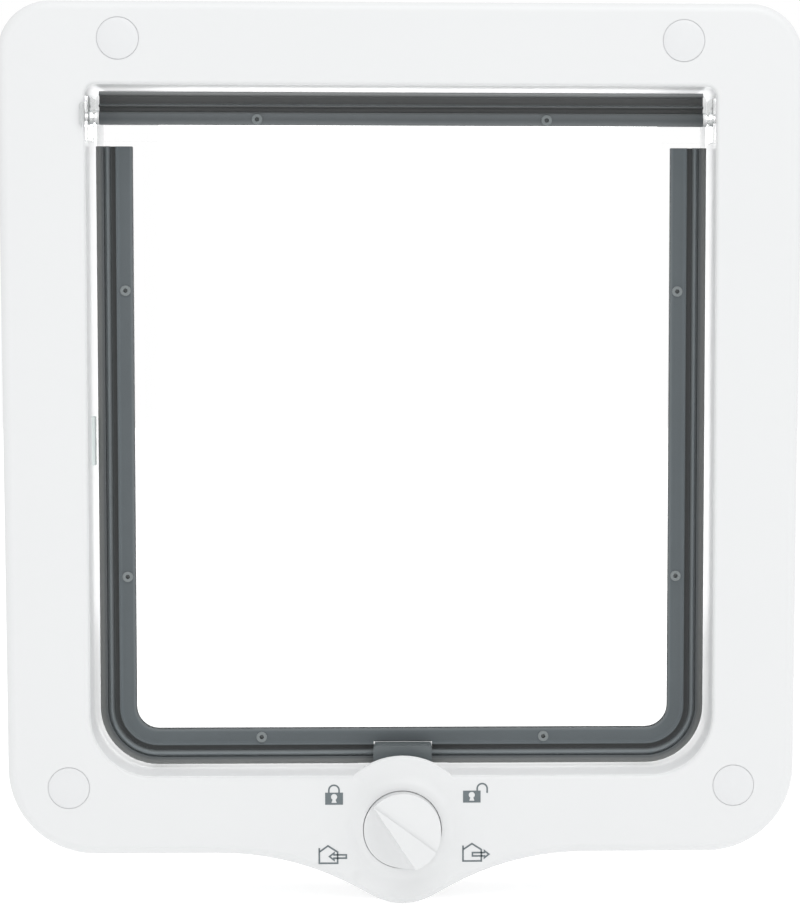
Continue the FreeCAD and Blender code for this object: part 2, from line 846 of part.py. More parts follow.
round_edges(pane, "PanelCorners", step, pick_edges(step, panel_corner), 4.2)
slab(
    pane, "BandRib",
    [rectangle(-(S.band_half - 0.4), S.band_half - 0.4, S.band_low + 1.8, S.band_low + 4.9)],
    PANE_FRONT + 0.3, S.panel_raise + 0.3,
)
for side in (-1, 1):
    tag = "L" if side < 0 else "R"
    start = S.top_seal_half + 0.1 if side > 0 else -S.band_half
    body_rod(
        pane, "Lug" + tag, "Additive", (start, S.flap_mid, S.axis_z),
        S.band_half - S.top_seal_half - 0.1, S.lug_radius, ALONG_X,
    )
    body_box(
        pane, "LugFoot" + tag, "Additive",
        (
            (start, start + S.band_half - S.top_seal_half - 0.1),
            (PANE_FRONT, PANE_BACK),
            (S.band_high - 1, S.axis_z),
        ),
    )
    start = S.top_seal_half + 0.1 if side > 0 else -S.pin_end
    body_rod(
        pane, "Pin" + tag, "Additive", (start, S.flap_mid, S.axis_z),
        S.pin_end - S.top_seal_half - 0.1, S.pin_radius, ALONG_X,
    )
holes = [(x, z, S.rivet_hole_radius) for x, z in RIVETS]
cut(pane, "RivetHoles", holes, PANE_FRONT - 2, 8)
parts.append(pane)


# Seals of the flap, on the indoor (side -1) and the outdoor side (side 1)
def level(side, height):
    """Return the y of a point at a height above the pane's face, on one side."""
    return S.flap_mid + (S.pane_thick * 0.5 + height) * side


RIDGE = S.seal_thick + 0.1
FLAT = S.seal_thick - 0.9
BEAD = S.seal_thick - 0.65
GROOVE = S.seal_thick - 2.2
LIP_HIGH = S.seal_thick - 0.6
EDGE_LOW = -(S.pane_thick * 0.5 - 0.05)


def top_seal(name, side):
    """Build the straight seal strip across the head of the flap."""
    body = new_body(name)
    sketch = new_sketch(body, name + "_section", "YZ_Plane", -S.top_seal_half)
    high = S.top_seal_up
    low = S.top_seal_low
    corners = [
        (level(side, EDGE_LOW), high),
        (level(side, LIP_HIGH - 0.5), high),
        (level(side, LIP_HIGH), high - 0.4),
        (level(side, LIP_HIGH), high - 1.3),
        (level(side, GROOVE), high - 1.9),
        (level(side, GROOVE), high - 4.8),
        (level(side, RIDGE - 0.5), high - 5.0),
        (level(side, RIDGE), high - 5.3),
        (level(side, RIDGE), high - 5.6),
        (level(side, RIDGE - 0.5), high - 5.9),
        (level(side, GROOVE), high - 6.1),
        (level(side, GROOVE), high - 7.6),
        (level(side, BEAD), high - 7.8),
        (level(side, BEAD), high - 8.1),
        (level(side, FLAT), high - 8.3),
        (level(side, FLAT), low + 0.2),
        (level(side, FLAT - 0.3), low),
        (level(side, 0), low),
        (level(side, 0), high - 0.5),
        (level(side, EDGE_LOW), high - 0.5),
    ]
    draw_polygon(sketch, corners)
    pad = body.newObject("PartDesign::Pad", name + "_strip")
    pad.Profile = sketch
    bind(pad, "Length", S.top_seal_half * 2)
    sketch.Visibility = False
    doc.recompute()
    holes = [(x, z, S.rivet_hole_radius) for x, z in RIVETS[6:]]
    cut(body, name + "_holes", holes, S.flap_mid - 6, 12)
    parts.append(body)


def surround_seal(name, side):
    """Sweep the ridged seal round the sides and foot of the flap."""
    body = new_body(name)
    inner = S.seal_half - S.seal_wide
    radius = S.seal_corner - S.seal_wide
    foot = -(S.seal_foot - S.seal_wide)
    path = new_sketch(body, name + "_path", "XZ_Plane", 0)
    r = radius.value
    left, low, high = -inner.value, foot.value, S.seal_top_end.value
    right = -left
    turn = math.pi / 2
    up = FreeCAD.Vector(0, 0, 1)
    path.addGeometry(Part.LineSegment(FreeCAD.Vector(left, high, 0), FreeCAD.Vector(left, low + r, 0)), False)
    bend = Part.Circle(FreeCAD.Vector(left + r, low + r, 0), up, r)
    path.addGeometry(Part.ArcOfCircle(bend, 2 * turn, 3 * turn), False)
    path.addGeometry(Part.LineSegment(FreeCAD.Vector(left + r, low, 0), FreeCAD.Vector(right - r, low, 0)), False)
    bend = Part.Circle(FreeCAD.Vector(right - r, low + r, 0), up, r)
    path.addGeometry(Part.ArcOfCircle(bend, 3 * turn, 4 * turn), False)
    path.addGeometry(Part.LineSegment(FreeCAD.Vector(right, low + r, 0), FreeCAD.Vector(right, high, 0)), False)
    path.addConstraint(Sketcher.Constraint("Tangent", 0, 2, 1, 1))
    path.addConstraint(Sketcher.Constraint("Tangent", 1, 2, 2, 1))
    path.addConstraint(Sketcher.Constraint("Tangent", 2, 2, 3, 1))
    path.addConstraint(Sketcher.Constraint("Tangent", 3, 2, 4, 1))
    path.addConstraint(Sketcher.Constraint("Vertical", 0))
    path.addConstraint(Sketcher.Constraint("Vertical", 4))
    path.addConstraint(Sketcher.Constraint("Equal", 1, 3))
    index = path.addConstraint(Sketcher.Constraint("Radius", 1, r))
    path.setExpression("Constraints[%d]" % index, radius.text)
    fix_point(path, 0, 1, -inner, S.seal_top_end)
    fix_point(path, 4, 2, inner, S.seal_top_end)
    index = path.addConstraint(Sketcher.Constraint("DistanceY", -1, 1, 2, 1, low))
    path.setExpression("Constraints[%d]" % index, foot.text)
    section = new_sketch(body, name + "_section", "XY_Plane", S.seal_top_end)
    edge = -S.seal_half
    corners = [
        (edge, level(side, EDGE_LOW)),
        (edge, level(side, LIP_HIGH - 1.2)),
        (edge + 0.6, level(side, LIP_HIGH - 0.3)),
        (edge + 1.6, level(side, LIP_HIGH)),
        (edge + 2.9, level(side, LIP_HIGH - 0.6)),
        (edge + 3.1, level(side, GROOVE)),
        (edge + 3.6, level(side, GROOVE)),
        (edge + 3.9, level(side, RIDGE - 0.5)),
        (edge + 4.4, level(side, RIDGE)),
        (edge + 4.9, level(side, RIDGE)),
        (edge + 5.3, level(side, RIDGE - 0.5)),
        (edge + 5.6, level(side, GROOVE)),
        (edge + 7.3, level(side, GROOVE)),
        (edge + 7.5, level(side, BEAD)),
        (edge + 7.9, level(side, BEAD)),
        (edge + 8.1, level(side, FLAT)),
        (-inner - 0.3, level(side, FLAT)),
        (-inner, level(side, FLAT - 0.3)),
        (-inner, level(side, 0)),
        (edge + 4.2, level(side, 0)),
        (edge + 4.2, level(side, EDGE_LOW)),
    ]
    draw_polygon(section, corners)
    doc.recompute()
    pipe = body.newObject("PartDesign::AdditivePipe", name + "_sweep")
    pipe.Profile = section
    pipe.Spine = (path, [])
    pipe.Mode = "Standard"
    pipe.Transition = "Transformed"
    section.Visibility = False
    path.Visibility = False
    doc.recompute()
    body_box(
        body, name + "_notch", "Subtractive",
        (
            (-S.latch_half - S.notch_gap, S.latch_half + S.notch_gap),
            (S.flap_mid - 8, S.flap_mid + 8),
            (-S.seal_foot - 1, -S.notch_up),
        ),
    )
    body_rod(
        body, name + "_hollow", "Subtractive", (0, S.flap_mid - 8, -S.knob_z - 0.85),
        16.0, S.shield_radius + 0.7, ALONG_Y,
    )
    holes = [(x, z, S.rivet_hole_radius) for x, z in RIVETS[:6]]
    cut(body, name + "_holes", holes, S.flap_mid - 6, 12)
    parts.append(body)


top_seal("top_seal_indoor", -1)
top_seal("top_seal_outdoor", 1)
surround_seal("surround_seal_indoor", -1)
surround_seal("surround_seal_outdoor", 1)

# Rivets that hold the seals to the pane
rivets = []
reach = S.pane_thick * 0.5 + FLAT
for number, (x, z) in enumerate(RIVETS):
    shank = free_rod(
        "RivetShank%d" % number, (x, S.flap_mid - reach, z), reach * 2,
        S.rivet_hole_radius - S.turn_gap, ALONG_Y,
    )
    front = free_rod(
        "RivetFront%d" % number, (x, S.flap_mid - reach - 0.35, z), 0.35, S.rivet_head_radius, ALONG_Y
    )
    back = free_rod(
        "RivetBack%d" % number, (x, S.flap_mid + reach, z), 0.35, S.rivet_head_radius, ALONG_Y
    )
    whole = fuse("RivetWhole%d" % number, [shank, front, back])
    dimple = free_rod(
        "RivetDimple%d" % number, (x, S.flap_mid - reach - 1, z), 2.2, 0.85, ALONG_Y
    )
    rivets.append(take("Rivet%d" % number, whole, dimple))
rivet_group = gather("SealRivets", rivets)
rivet_group.Label = "seal_rivets"
parts.append(rivet_group)


# Hinge blocks
def hinge_block(name, side, has_tab):
    """Build a clear plate on the side wall, with a bush for the pin and a tab over the flange."""
    body = new_body(name)
    near = S.block_in * side
    far = (S.open_half - S.turn_gap) * side
    across = (far, near) if side < 0 else (near, far)
    body_box(
        body, name + "_plate", "Additive",
        (across, (FRONT + S.mouth_round + 0.5, S.block_back), (S.block_low, S.block_up)),
    )
    bush_end = S.pin_end + 1.0
    start = -bush_end if side < 0 else S.open_half - 0.5
    body_rod(
        body, name + "_bush", "Additive", (start, S.flap_mid, S.axis_z),
        bush_end - S.open_half + 0.5, S.bush_radius, ALONG_X,
    )
    if has_tab:
        tall = (S.axis_z - S.tab_half, S.axis_z + S.tab_half)
        top = FRONT - S.turn_gap - S.tab_thick
        body_box(body, name + "_neck", "Additive", (across, (top, FRONT + S.mouth_round + 1), tall))
        near = (S.block_in - 0.5) * side
        far = S.tab_out * side
        across = (far, near) if side < 0 else (near, far)
        step = body_box(body, name + "_tab", "Additive", (across, (top, top + S.tab_thick), tall))

        def outer_corner(edge):
            """Outer corners of the tab."""
            middle = edge.CenterOfMass
            return is_along(edge, 1) and abs(abs(middle.x) - S.tab_out.value) < 0.01

        round_edges(body, name + "_tab_round", step, pick_edges(step, outer_corner), 1.4)
    start = -(S.pin_end + 0.3) if side < 0 else S.block_in - 1
    body_rod(
        body, name + "_bore", "Subtractive", (start, S.flap_mid, S.axis_z),
        S.pin_end + 0.3 - S.block_in + 1, S.pin_radius + S.turn_gap, ALONG_X,
    )
    parts.append(body)


hinge_block("hinge_block_left", -1, True)
hinge_block("hinge_block_right", 1, False)

# Knob with a slanting fin whose tip points at the setting
KNOB_BACK = FRONT - 0.1
KNOB_FRONT = KNOB_BACK - S.knob_tall
TIP_ANGLE = 137.0
disc = free_rod("KnobDisc", (0, KNOB_FRONT, -S.knob_z), S.knob_tall, S.knob_radius, ALONG_Y)


def knob_point(along, aside, y):
    """Return a point given along the fin, square to it, and in depth."""
    angle = math.radians(TIP_ANGLE)
    x = along * math.cos(angle) - aside * math.sin(angle)
    z = along * math.sin(angle) + aside * math.cos(angle)
    return FreeCAD.Vector(x, y, z - S.knob_z.value)


def aim(item, start, end):
    """Place a cylinder so that it runs from one point towards another."""
    way = end.sub(start)
    item.Placement = FreeCAD.Placement(start, FreeCAD.Rotation(FreeCAD.Vector(0, 0, 1), way))


scoop_radius = 8.6
scoop = doc.addObject("Part::Cylinder", "KnobScoop")
scoop.Radius = scoop_radius
scoop.Height = 50
edge_angle = math.atan2(6.0, -25.0)
nx, ny = -math.sin(edge_angle), math.cos(edge_angle)
if ny < 0:
    nx, ny = -nx, -ny
front_y = KNOB_FRONT.value
middle_u, middle_v = 1.5, 3.0
du, dv = math.cos(edge_angle), math.sin(edge_angle)
axis_u, axis_v = middle_u + nx * scoop_radius, middle_v + ny * scoop_radius
aim(
    scoop,
    knob_point(axis_u - 25 * du, axis_v - 25 * dv, front_y - 0.4),
    knob_point(axis_u + 25 * du, axis_v + 25 * dv, front_y - 0.4),
)
slope = doc.addObject("Part::Box", "KnobSlope")
slope.Length = 40
slope.Width = 30
slope.Height = 30
ridge_angle = math.atan2(-2.9, -25.0)
drop = math.radians(14)
along = knob_point(math.cos(ridge_angle), math.sin(ridge_angle), 0).sub(knob_point(0, 0, 0))
aside = knob_point(math.sin(ridge_angle), -math.cos(ridge_angle), 0).sub(knob_point(0, 0, 0))
if aside.dot(knob_point(0, -1, 0).sub(knob_point(0, 0, 0))) < 0:
    aside = aside * -1
down = FreeCAD.Vector(0, 1, 0)
axis_x = along.normalize()
axis_y = (aside.normalize() * math.cos(drop)).add(down * math.sin(drop)).normalize()
axis_z = axis_x.cross(axis_y)
if axis_z.y > 0:
    axis_x = axis_x * -1
    axis_z = axis_x.cross(axis_y)
ridge = knob_point(1.0, -1.6, front_y + 0.9)
corner = ridge.sub(axis_x * 20)
matrix = FreeCAD.Matrix(
    axis_x.x, axis_y.x, axis_z.x, corner.x,
    axis_x.y, axis_y.y, axis_z.y, corner.y,
    axis_x.z, axis_y.z, axis_z.z, corner.z,
    0, 0, 0, 1,
)
slope.Placement = FreeCAD.Placement(matrix)
step = take("KnobScooped", disc, scoop)
step = take("KnobSloped", step, slope)
socket = free_rod("KnobSocket", (0, KNOB_BACK - 4.0, -S.knob_z), 5.0, S.shaft_radius * 0.8, ALONG_Y)
pilot = free_rod("KnobPilot", (0, KNOB_BACK - 7.0, -S.knob_z), 5.0, 1.15, ALONG_Y)
step = take("KnobBored", step, fuse("KnobBores", [socket, pilot]))
step.Label = "knob"
parts.append(step)

# Cam shaft that turns with the knob
CAM_FRONT = as_size(-7.3)
cam_parts = [
    free_rod("CamShaft", (0, FRONT - 0.1, -S.knob_z), 4.7, S.shaft_radius, ALONG_Y),
    free_rod("CamSpigot", (0, KNOB_BACK - 3.9, -S.knob_z), 4.2, S.shaft_radius * 0.8 - 0.03, ALONG_Y),
    free_rod("CamHub", (0, CAM_FRONT - 0.2, -S.knob_z), 5.7, 6.4, ALONG_Y),
    free_rod("CamJournal", (0, -1.9, -S.knob_z), 1.8, 3.2, ALONG_Y),
]
for number, (back, angles) in enumerate(((-4.9, (90, 270)), (-2.1, (0, 90)))):
    for angle in angles:
        x = 2.0 * math.cos(math.radians(angle))
        z = 2.0 * math.sin(math.radians(angle))
        cam_parts.append(
            free_rod(
                "CamLobe%d_%d" % (number, angle), (x, back - 2.4, -S.knob_z + z), 2.4,
                S.cam_radius - 2.0, ALONG_Y,
            )
        )
whole = fuse("CamWhole", cam_parts)
bore = free_rod("CamBore", (0, -17.0, -S.knob_z), 17.0, 1.3, ALONG_Y)
sink = free_rod("CamSink", (0, -2.6, -S.knob_z), 3.0, 2.55, ALONG_Y)
step = take("Cam", whole, fuse("CamBores", [bore, sink]))
step.Label = "cam_shaft"
parts.append(step)

# Screw that draws the knob onto the cam shaft
head = free_rod("KnobScrewHead", (0, -2.6, -S.knob_z), 1.8, 2.4, ALONG_Y)
shank = free_rod("KnobScrewShank", (0, -18.4, -S.knob_z), 16.0, 1.1, ALONG_Y)
step = fuse("KnobScrewWhole", [head, shank])
slot = free_box("KnobScrewSlot", ((-1.8, 1.8), (-1.6, 0.0), (-S.knob_z - 0.35, -S.knob_z + 0.35)))
step = take("KnobScrew", step, slot)
step.Label = "knob_screw"
parts.append(step)

# Leaf spring that holds the knob at its settings
spring = new_body("detent_spring")
sz = -S.knob_z
slab(
    spring, "Leaf",
    [[
        (-15.6, sz - 10.5), (-14.0, sz - 10.5), (-5.0, sz - 9.0), (-1.2, sz - 8.6), (1.2, sz - 8.6),
        (5.0, sz - 9.0), (14.0, sz - 10.5), (15.6, sz - 10.5), (15.6, sz - 10.0), (13.8, sz - 10.0),
        (5.0, sz - 8.6), (1.2, sz - 8.45), (-1.2, sz - 8.45), (-5.0, sz - 8.6), (-13.8, sz - 10.0),
        (-15.6, sz - 10.0),
    ]],
    -2.2, 5.0,
)
parts.append(spring)

# Front latch
front_latch = new_body("front_latch")
block_low = sill_low + 0.3
foot_z = -S.knob_z + S.cam_radius + 0.5
step = body_box(
    front_latch, "FrontBlock", "Additive",
    ((-S.latch_half, S.latch_half), (LATCH_FRONT, LATCH_BACK), (block_low, -S.latch_top)),
)


def latch_head(top):
    """Return a test for the upper edges at the two ends of a latch block."""

    def is_head(edge):
        """Edges at the block's ends, at its top."""
        middle = edge.CenterOfMass
        return abs(abs(middle.x) - S.latch_half.value) < 0.01 and middle.z > -top.value - 0.1

    return is_head


round_edges(front_latch, "FrontHead", step, pick_edges(step, latch_head(S.latch_top)), 1.2)
body_box(
    front_latch, "FrontStem", "Additive",
    ((-10.0, -1.0), (-3.4, -0.5), (foot_z, block_low + 1)),
)
body_box(
    front_latch, "FrontLink", "Additive",
    ((-5.0, -1.0), (-7.2, -0.5), (foot_z, foot_z + 2.6)),
)
body_box(
    front_latch, "FrontFoot", "Additive",
    ((-5.0, 5.0), (-7.2, -5.0), (foot_z, foot_z + 2.6)),
)
parts.append(front_latch)

# Rear latch
rear_latch = new_body("rear_latch")
arm_low = foot_z + 1.6
arm_high = foot_z + 4.4
step = body_box(
    rear_latch, "RearBlock", "Additive",
    ((-S.latch_half, S.latch_half), (REAR_FRONT, REAR_BACK), (arm_low, -S.rear_top)),
)
round_edges(rear_latch, "RearHead", step, pick_edges(step, latch_head(S.rear_top)), 1.2)
body_box(
    rear_latch, "RearArm", "Additive",
    ((1.0, 10.0), (-4.4, REAR_FRONT + 1), (arm_low, arm_high)),
)
body_box(
    rear_latch, "RearFoot", "Additive",
    ((1.0, 6.0), (-4.4, -2.1), (foot_z, arm_high)),
)
parts.append(rear_latch)

# Cover that carries the back end of the cam shaft
cover = new_body("mechanism_cover")
cover_loop = rectangle(-31.0, 31.0, -S.knob_z - 7.0, -S.knob_z + 7.0)
step = slab(cover, "CoverPlate", [cover_loop], 0, COVER_THICK)
step = round_edges(cover, "CoverCorners", step, pick_edges(step, lambda edge: is_along(edge, 1)), 3.0)
cut(
    cover, "CoverHoles",
    [(0, -S.knob_z, 3.2 + S.turn_gap), (-POST_X, POST_Z, 1.3), (POST_X, POST_Z, 1.3)],
    -3.0, 5.0,
)
parts.append(cover)

# Screws of the cover
cover_screws = []
for side in (-1, 1):
    tag = "L" if side < 0 else "R"
    head = free_cone("CoverScrewHead" + tag, (POST_X * side, -1.5, POST_Z), 1.5, 1.1, 2.25, ALONG_Y)
    shank = free_rod("CoverScrewShank" + tag, (POST_X * side, -7.6, POST_Z), 6.2, 0.9, ALONG_Y)
    cover_screws.append(fuse("CoverScrew" + tag, [head, shank]))
screw_pair = gather("CoverScrews", cover_screws)
screw_pair.Label = "cover_screws"
parts.append(screw_pair)
for side in (-1, 1):
    sink = cover.newObject("PartDesign::SubtractiveCone", "CoverSink" + ("L" if side < 0 else "R"))
    bind(sink, "Radius1", 1.1 + S.turn_gap)
    bind(sink, "Radius2", 2.25 + S.turn_gap)
    bind(sink, "Height", 1.5)
    place(sink, (POST_X * side, -1.5, POST_Z), ALONG_Y)
    doc.recompute()

# Magnets in the foot of the flap and under the sill
MAGNET_IN = 22.0
MAGNET_OUT = 38.0
flap_magnets = []
sill_magnets = []
for side in (-1, 1):
    tag = "L" if side < 0 else "R"
    across = (-MAGNET_OUT, -MAGNET_IN) if side < 0 else (MAGNET_IN, MAGNET_OUT)
    flap_magnets.append(
        free_box(
            "FlapMagnet" + tag,
            (
                across,
                (PANE_FRONT + 0.05, PANE_BACK - 0.05),
                (-(S.seal_foot - 4.3), -(S.pane_foot + 0.1)),
            ),
        )
    )
    across = (-36.0, -20.0) if side < 0 else (20.0, 36.0)
    sill_magnets.append(
        free_box(
            "SillMagnet" + tag,
            (across, (S.flap_mid - 3.0, S.flap_mid + 3.0), (sill_low - 2.5, sill_low)),
        )
    )
magnet_pair = gather("FlapMagnets", flap_magnets)
magnet_pair.Label = "flap_magnets"
parts.append(magnet_pair)
magnet_pair = gather("SillMagnets", sill_magnets)
magnet_pair.Label = "sill_magnets"
parts.append(magnet_pair)

# Pad on the left side of the passage
pad = free_box("SidePad", ((-S.open_half, -S.open_half + 1.1), (2.0, 7.0), (-13.0, 5.6)))
pad.Label = "side_pad"
parts.append(pad)

doc.recompute()
for item in doc.Objects:
    if "Invalid" in item.State or "Error" in item.State:
        raise RuntimeError("%s is %s" % (item.Name, item.State))
for item in parts:
    shape = item.Shape
    if shape.isNull() or not shape.isValid() or not shape.Solids:
        raise RuntimeError(item.Label + " has no valid solid")
for item in parts:
    item.Shape.exportStep("parts/%s.step" % item.Label)
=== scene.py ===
"""Looks of a cat flap: moulded frame, clear flap with ridged grey seals, lock knob and signs.

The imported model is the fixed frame. Sizes in the classes are in millimetres where they are
multiplied by MM, in the frame of the part: X to the right seen from indoors, Y from indoors to
outdoors, Z up.
"""

import json
import logging
import math
from collections.abc import Callable
from dataclasses import dataclass
from enum import Enum
from typing import Protocol

import bmesh
import bpy
from mathutils import Matrix, Vector

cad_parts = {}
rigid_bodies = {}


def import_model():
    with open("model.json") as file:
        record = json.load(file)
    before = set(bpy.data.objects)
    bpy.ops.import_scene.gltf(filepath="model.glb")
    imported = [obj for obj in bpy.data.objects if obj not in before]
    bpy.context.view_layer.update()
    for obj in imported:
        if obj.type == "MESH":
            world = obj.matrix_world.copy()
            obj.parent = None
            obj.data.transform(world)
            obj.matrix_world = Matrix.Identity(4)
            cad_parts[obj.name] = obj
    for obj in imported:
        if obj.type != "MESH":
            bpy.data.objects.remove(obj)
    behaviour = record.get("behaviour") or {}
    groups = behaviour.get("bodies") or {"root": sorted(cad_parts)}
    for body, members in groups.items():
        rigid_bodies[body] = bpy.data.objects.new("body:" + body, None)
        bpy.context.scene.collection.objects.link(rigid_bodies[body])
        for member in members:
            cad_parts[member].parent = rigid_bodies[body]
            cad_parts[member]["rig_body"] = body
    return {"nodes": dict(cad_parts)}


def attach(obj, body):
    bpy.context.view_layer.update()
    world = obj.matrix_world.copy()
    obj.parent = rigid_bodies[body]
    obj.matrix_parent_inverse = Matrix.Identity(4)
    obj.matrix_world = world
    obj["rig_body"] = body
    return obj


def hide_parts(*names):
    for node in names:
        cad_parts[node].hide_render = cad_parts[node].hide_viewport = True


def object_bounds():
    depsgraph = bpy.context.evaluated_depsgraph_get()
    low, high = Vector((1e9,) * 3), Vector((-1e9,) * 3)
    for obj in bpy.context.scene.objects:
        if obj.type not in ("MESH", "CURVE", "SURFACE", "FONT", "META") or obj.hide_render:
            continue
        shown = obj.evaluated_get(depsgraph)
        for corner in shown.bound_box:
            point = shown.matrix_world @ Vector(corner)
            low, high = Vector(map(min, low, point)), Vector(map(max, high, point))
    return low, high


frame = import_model()
CAD_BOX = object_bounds()

LOG = logging.getLogger("cat_flap")
MM = 0.001
MERGE_DISTANCE = 1e-6
EDGE_DISTANCE = "edge_distance"
FOOT_PAINTED_LIGHT = "foot_painted_light"
CLEAR_EDGE_SHADE = "clear_edge_painted_shade"
EDGE_ON = 0.6
# Tint of the painted warm reflection on the seals' lips and grooves.
WARM_REFLECTION = (1.14, 1.0, 0.91)
TONE_SPAN = 3.0
IMAGE_WIDTH = 800
IMAGE_HEIGHT = 905


class Setting(Enum):
    """The four settings of the lock knob, each with its own sign on the flange."""

    LOCKED = "locked"
    OPEN = "open"
    IN_ONLY = "in_only"
    OUT_ONLY = "out_only"


class Finish(Protocol):
    """Anything that can give its material."""

    def material(self) -> bpy.types.Material:
        """Return the finish as a material."""


# ---- Shared surface effects


def link_all(tree: bpy.types.NodeTree, pairs: list) -> None:
    """Join pairs of sockets in a node tree."""
    for start, end in pairs:
        tree.links.new(start, end)


def mottle_group() -> bpy.types.NodeTree:
    """Return the node group that gives a moulded surface its fine unevenness.

    Returns:
        A group with the inputs Fine, Broad and Spread, and the outputs Height and Shade.
    """
    found = bpy.data.node_groups.get("moulded_mottle")
    if found:
        return found
    tree = bpy.data.node_groups.new("moulded_mottle", "ShaderNodeTree")
    for name, start in (("Fine", 900.0), ("Broad", 18.0), ("Spread", 0.04)):
        socket = tree.interface.new_socket(name=name, in_out="INPUT", socket_type="NodeSocketFloat")
        socket.default_value = start
    for name in ("Height", "Shade"):
        tree.interface.new_socket(name=name, in_out="OUTPUT", socket_type="NodeSocketFloat")
    nodes = tree.nodes
    inputs = nodes.new("NodeGroupInput")
    outputs = nodes.new("NodeGroupOutput")
    place = nodes.new("ShaderNodeTexCoord")
    fine = nodes.new("ShaderNodeTexNoise")
    fine.inputs["Detail"].default_value = 3.0
    broad = nodes.new("ShaderNodeTexNoise")
    broad.inputs["Detail"].default_value = 2.0
    centred = nodes.new("ShaderNodeMath")
    centred.operation = "SUBTRACT"
    centred.inputs[1].default_value = 0.5
    scaled = nodes.new("ShaderNodeMath")
    scaled.operation = "MULTIPLY"
    shade = nodes.new("ShaderNodeMath")
    shade.operation = "ADD"
    shade.inputs[1].default_value = 1.0
    link_all(
        tree,
        [
            (place.outputs["Object"], fine.inputs["Vector"]),
            (place.outputs["Object"], broad.inputs["Vector"]),
            (inputs.outputs["Fine"], fine.inputs["Scale"]),
            (inputs.outputs["Broad"], broad.inputs["Scale"]),
            (broad.outputs["Fac"], centred.inputs[0]),
            (centred.outputs[0], scaled.inputs[0]),
            (inputs.outputs["Spread"], scaled.inputs[1]),
            (scaled.outputs[0], shade.inputs[0]),
            (fine.outputs["Fac"], outputs.inputs["Height"]),
            (shade.outputs[0], outputs.inputs["Shade"]),
        ],
    )
    return tree


def add_mottle(
    tree: bpy.types.NodeTree, fine: float, broad: float, spread: float
) -> bpy.types.Node:
    """Place the mottle group in a material.

    Args:
        tree: The material's node tree.
        fine: Scale of the grain that gives the height.
        broad: Scale of the slow change of shade.
        spread: How far the shade strays from 1.

    Returns:
        The group's node.
    """
    mottle = tree.nodes.new("ShaderNodeGroup")
    mottle.node_tree = mottle_group()
    for name, value in (("Fine", fine), ("Broad", broad), ("Spread", spread)):
        mottle.inputs[name].default_value = value
    return mottle


def new_material(name: str) -> tuple:
    """Make an empty node material.

    Args:
        name: The finish's name.

    Returns:
        The material, its node tree and its Principled shader.
    """
    material = bpy.data.materials.new(name)
    material.use_nodes = True
    tree = material.node_tree
    tree.nodes.clear()
    shader = tree.nodes.new("ShaderNodeBsdfPrincipled")
    output = tree.nodes.new("ShaderNodeOutputMaterial")
    tree.links.new(shader.outputs["BSDF"], output.inputs["Surface"])
    return material, tree, shader


@dataclass(frozen=True)
class MouldedPlastic:
    """An opaque moulded plastic or rubber."""

    name: str
    colour: tuple
    roughness: float = 0.4
    specular: float = 0.5
    fine: float = 900.0
    broad: float = 18.0
    spread: float = 0.02
    depth: float = 0.00002
    bump: float = 0.15

    def material(self) -> bpy.types.Material:
        """Make the finish's material, once.

        Returns:
            The material.
        """
        found = bpy.data.materials.get(self.name)
        if found:
            return found
        material, tree, shader = new_material(self.name)
        shader.inputs["Roughness"].default_value = self.roughness
        shader.inputs["Specular IOR Level"].default_value = self.specular
        mottle = add_mottle(tree, self.fine, self.broad, self.spread)
        tint = tree.nodes.new("ShaderNodeVectorMath")
        tint.operation = "SCALE"
        tint.inputs[0].default_value = self.colour
        bump = tree.nodes.new("ShaderNodeBump")
        bump.inputs["Strength"].default_value = self.bump
        bump.inputs["Distance"].default_value = self.depth
        link_all(
            tree,
            [
                (mottle.outputs["Shade"], tint.inputs["Scale"]),
                (tint.outputs["Vector"], shader.inputs["Base Color"]),
                (mottle.outputs["Height"], bump.inputs["Height"]),
                (bump.outputs["Normal"], shader.inputs["Normal"]),
            ],
        )
        return material


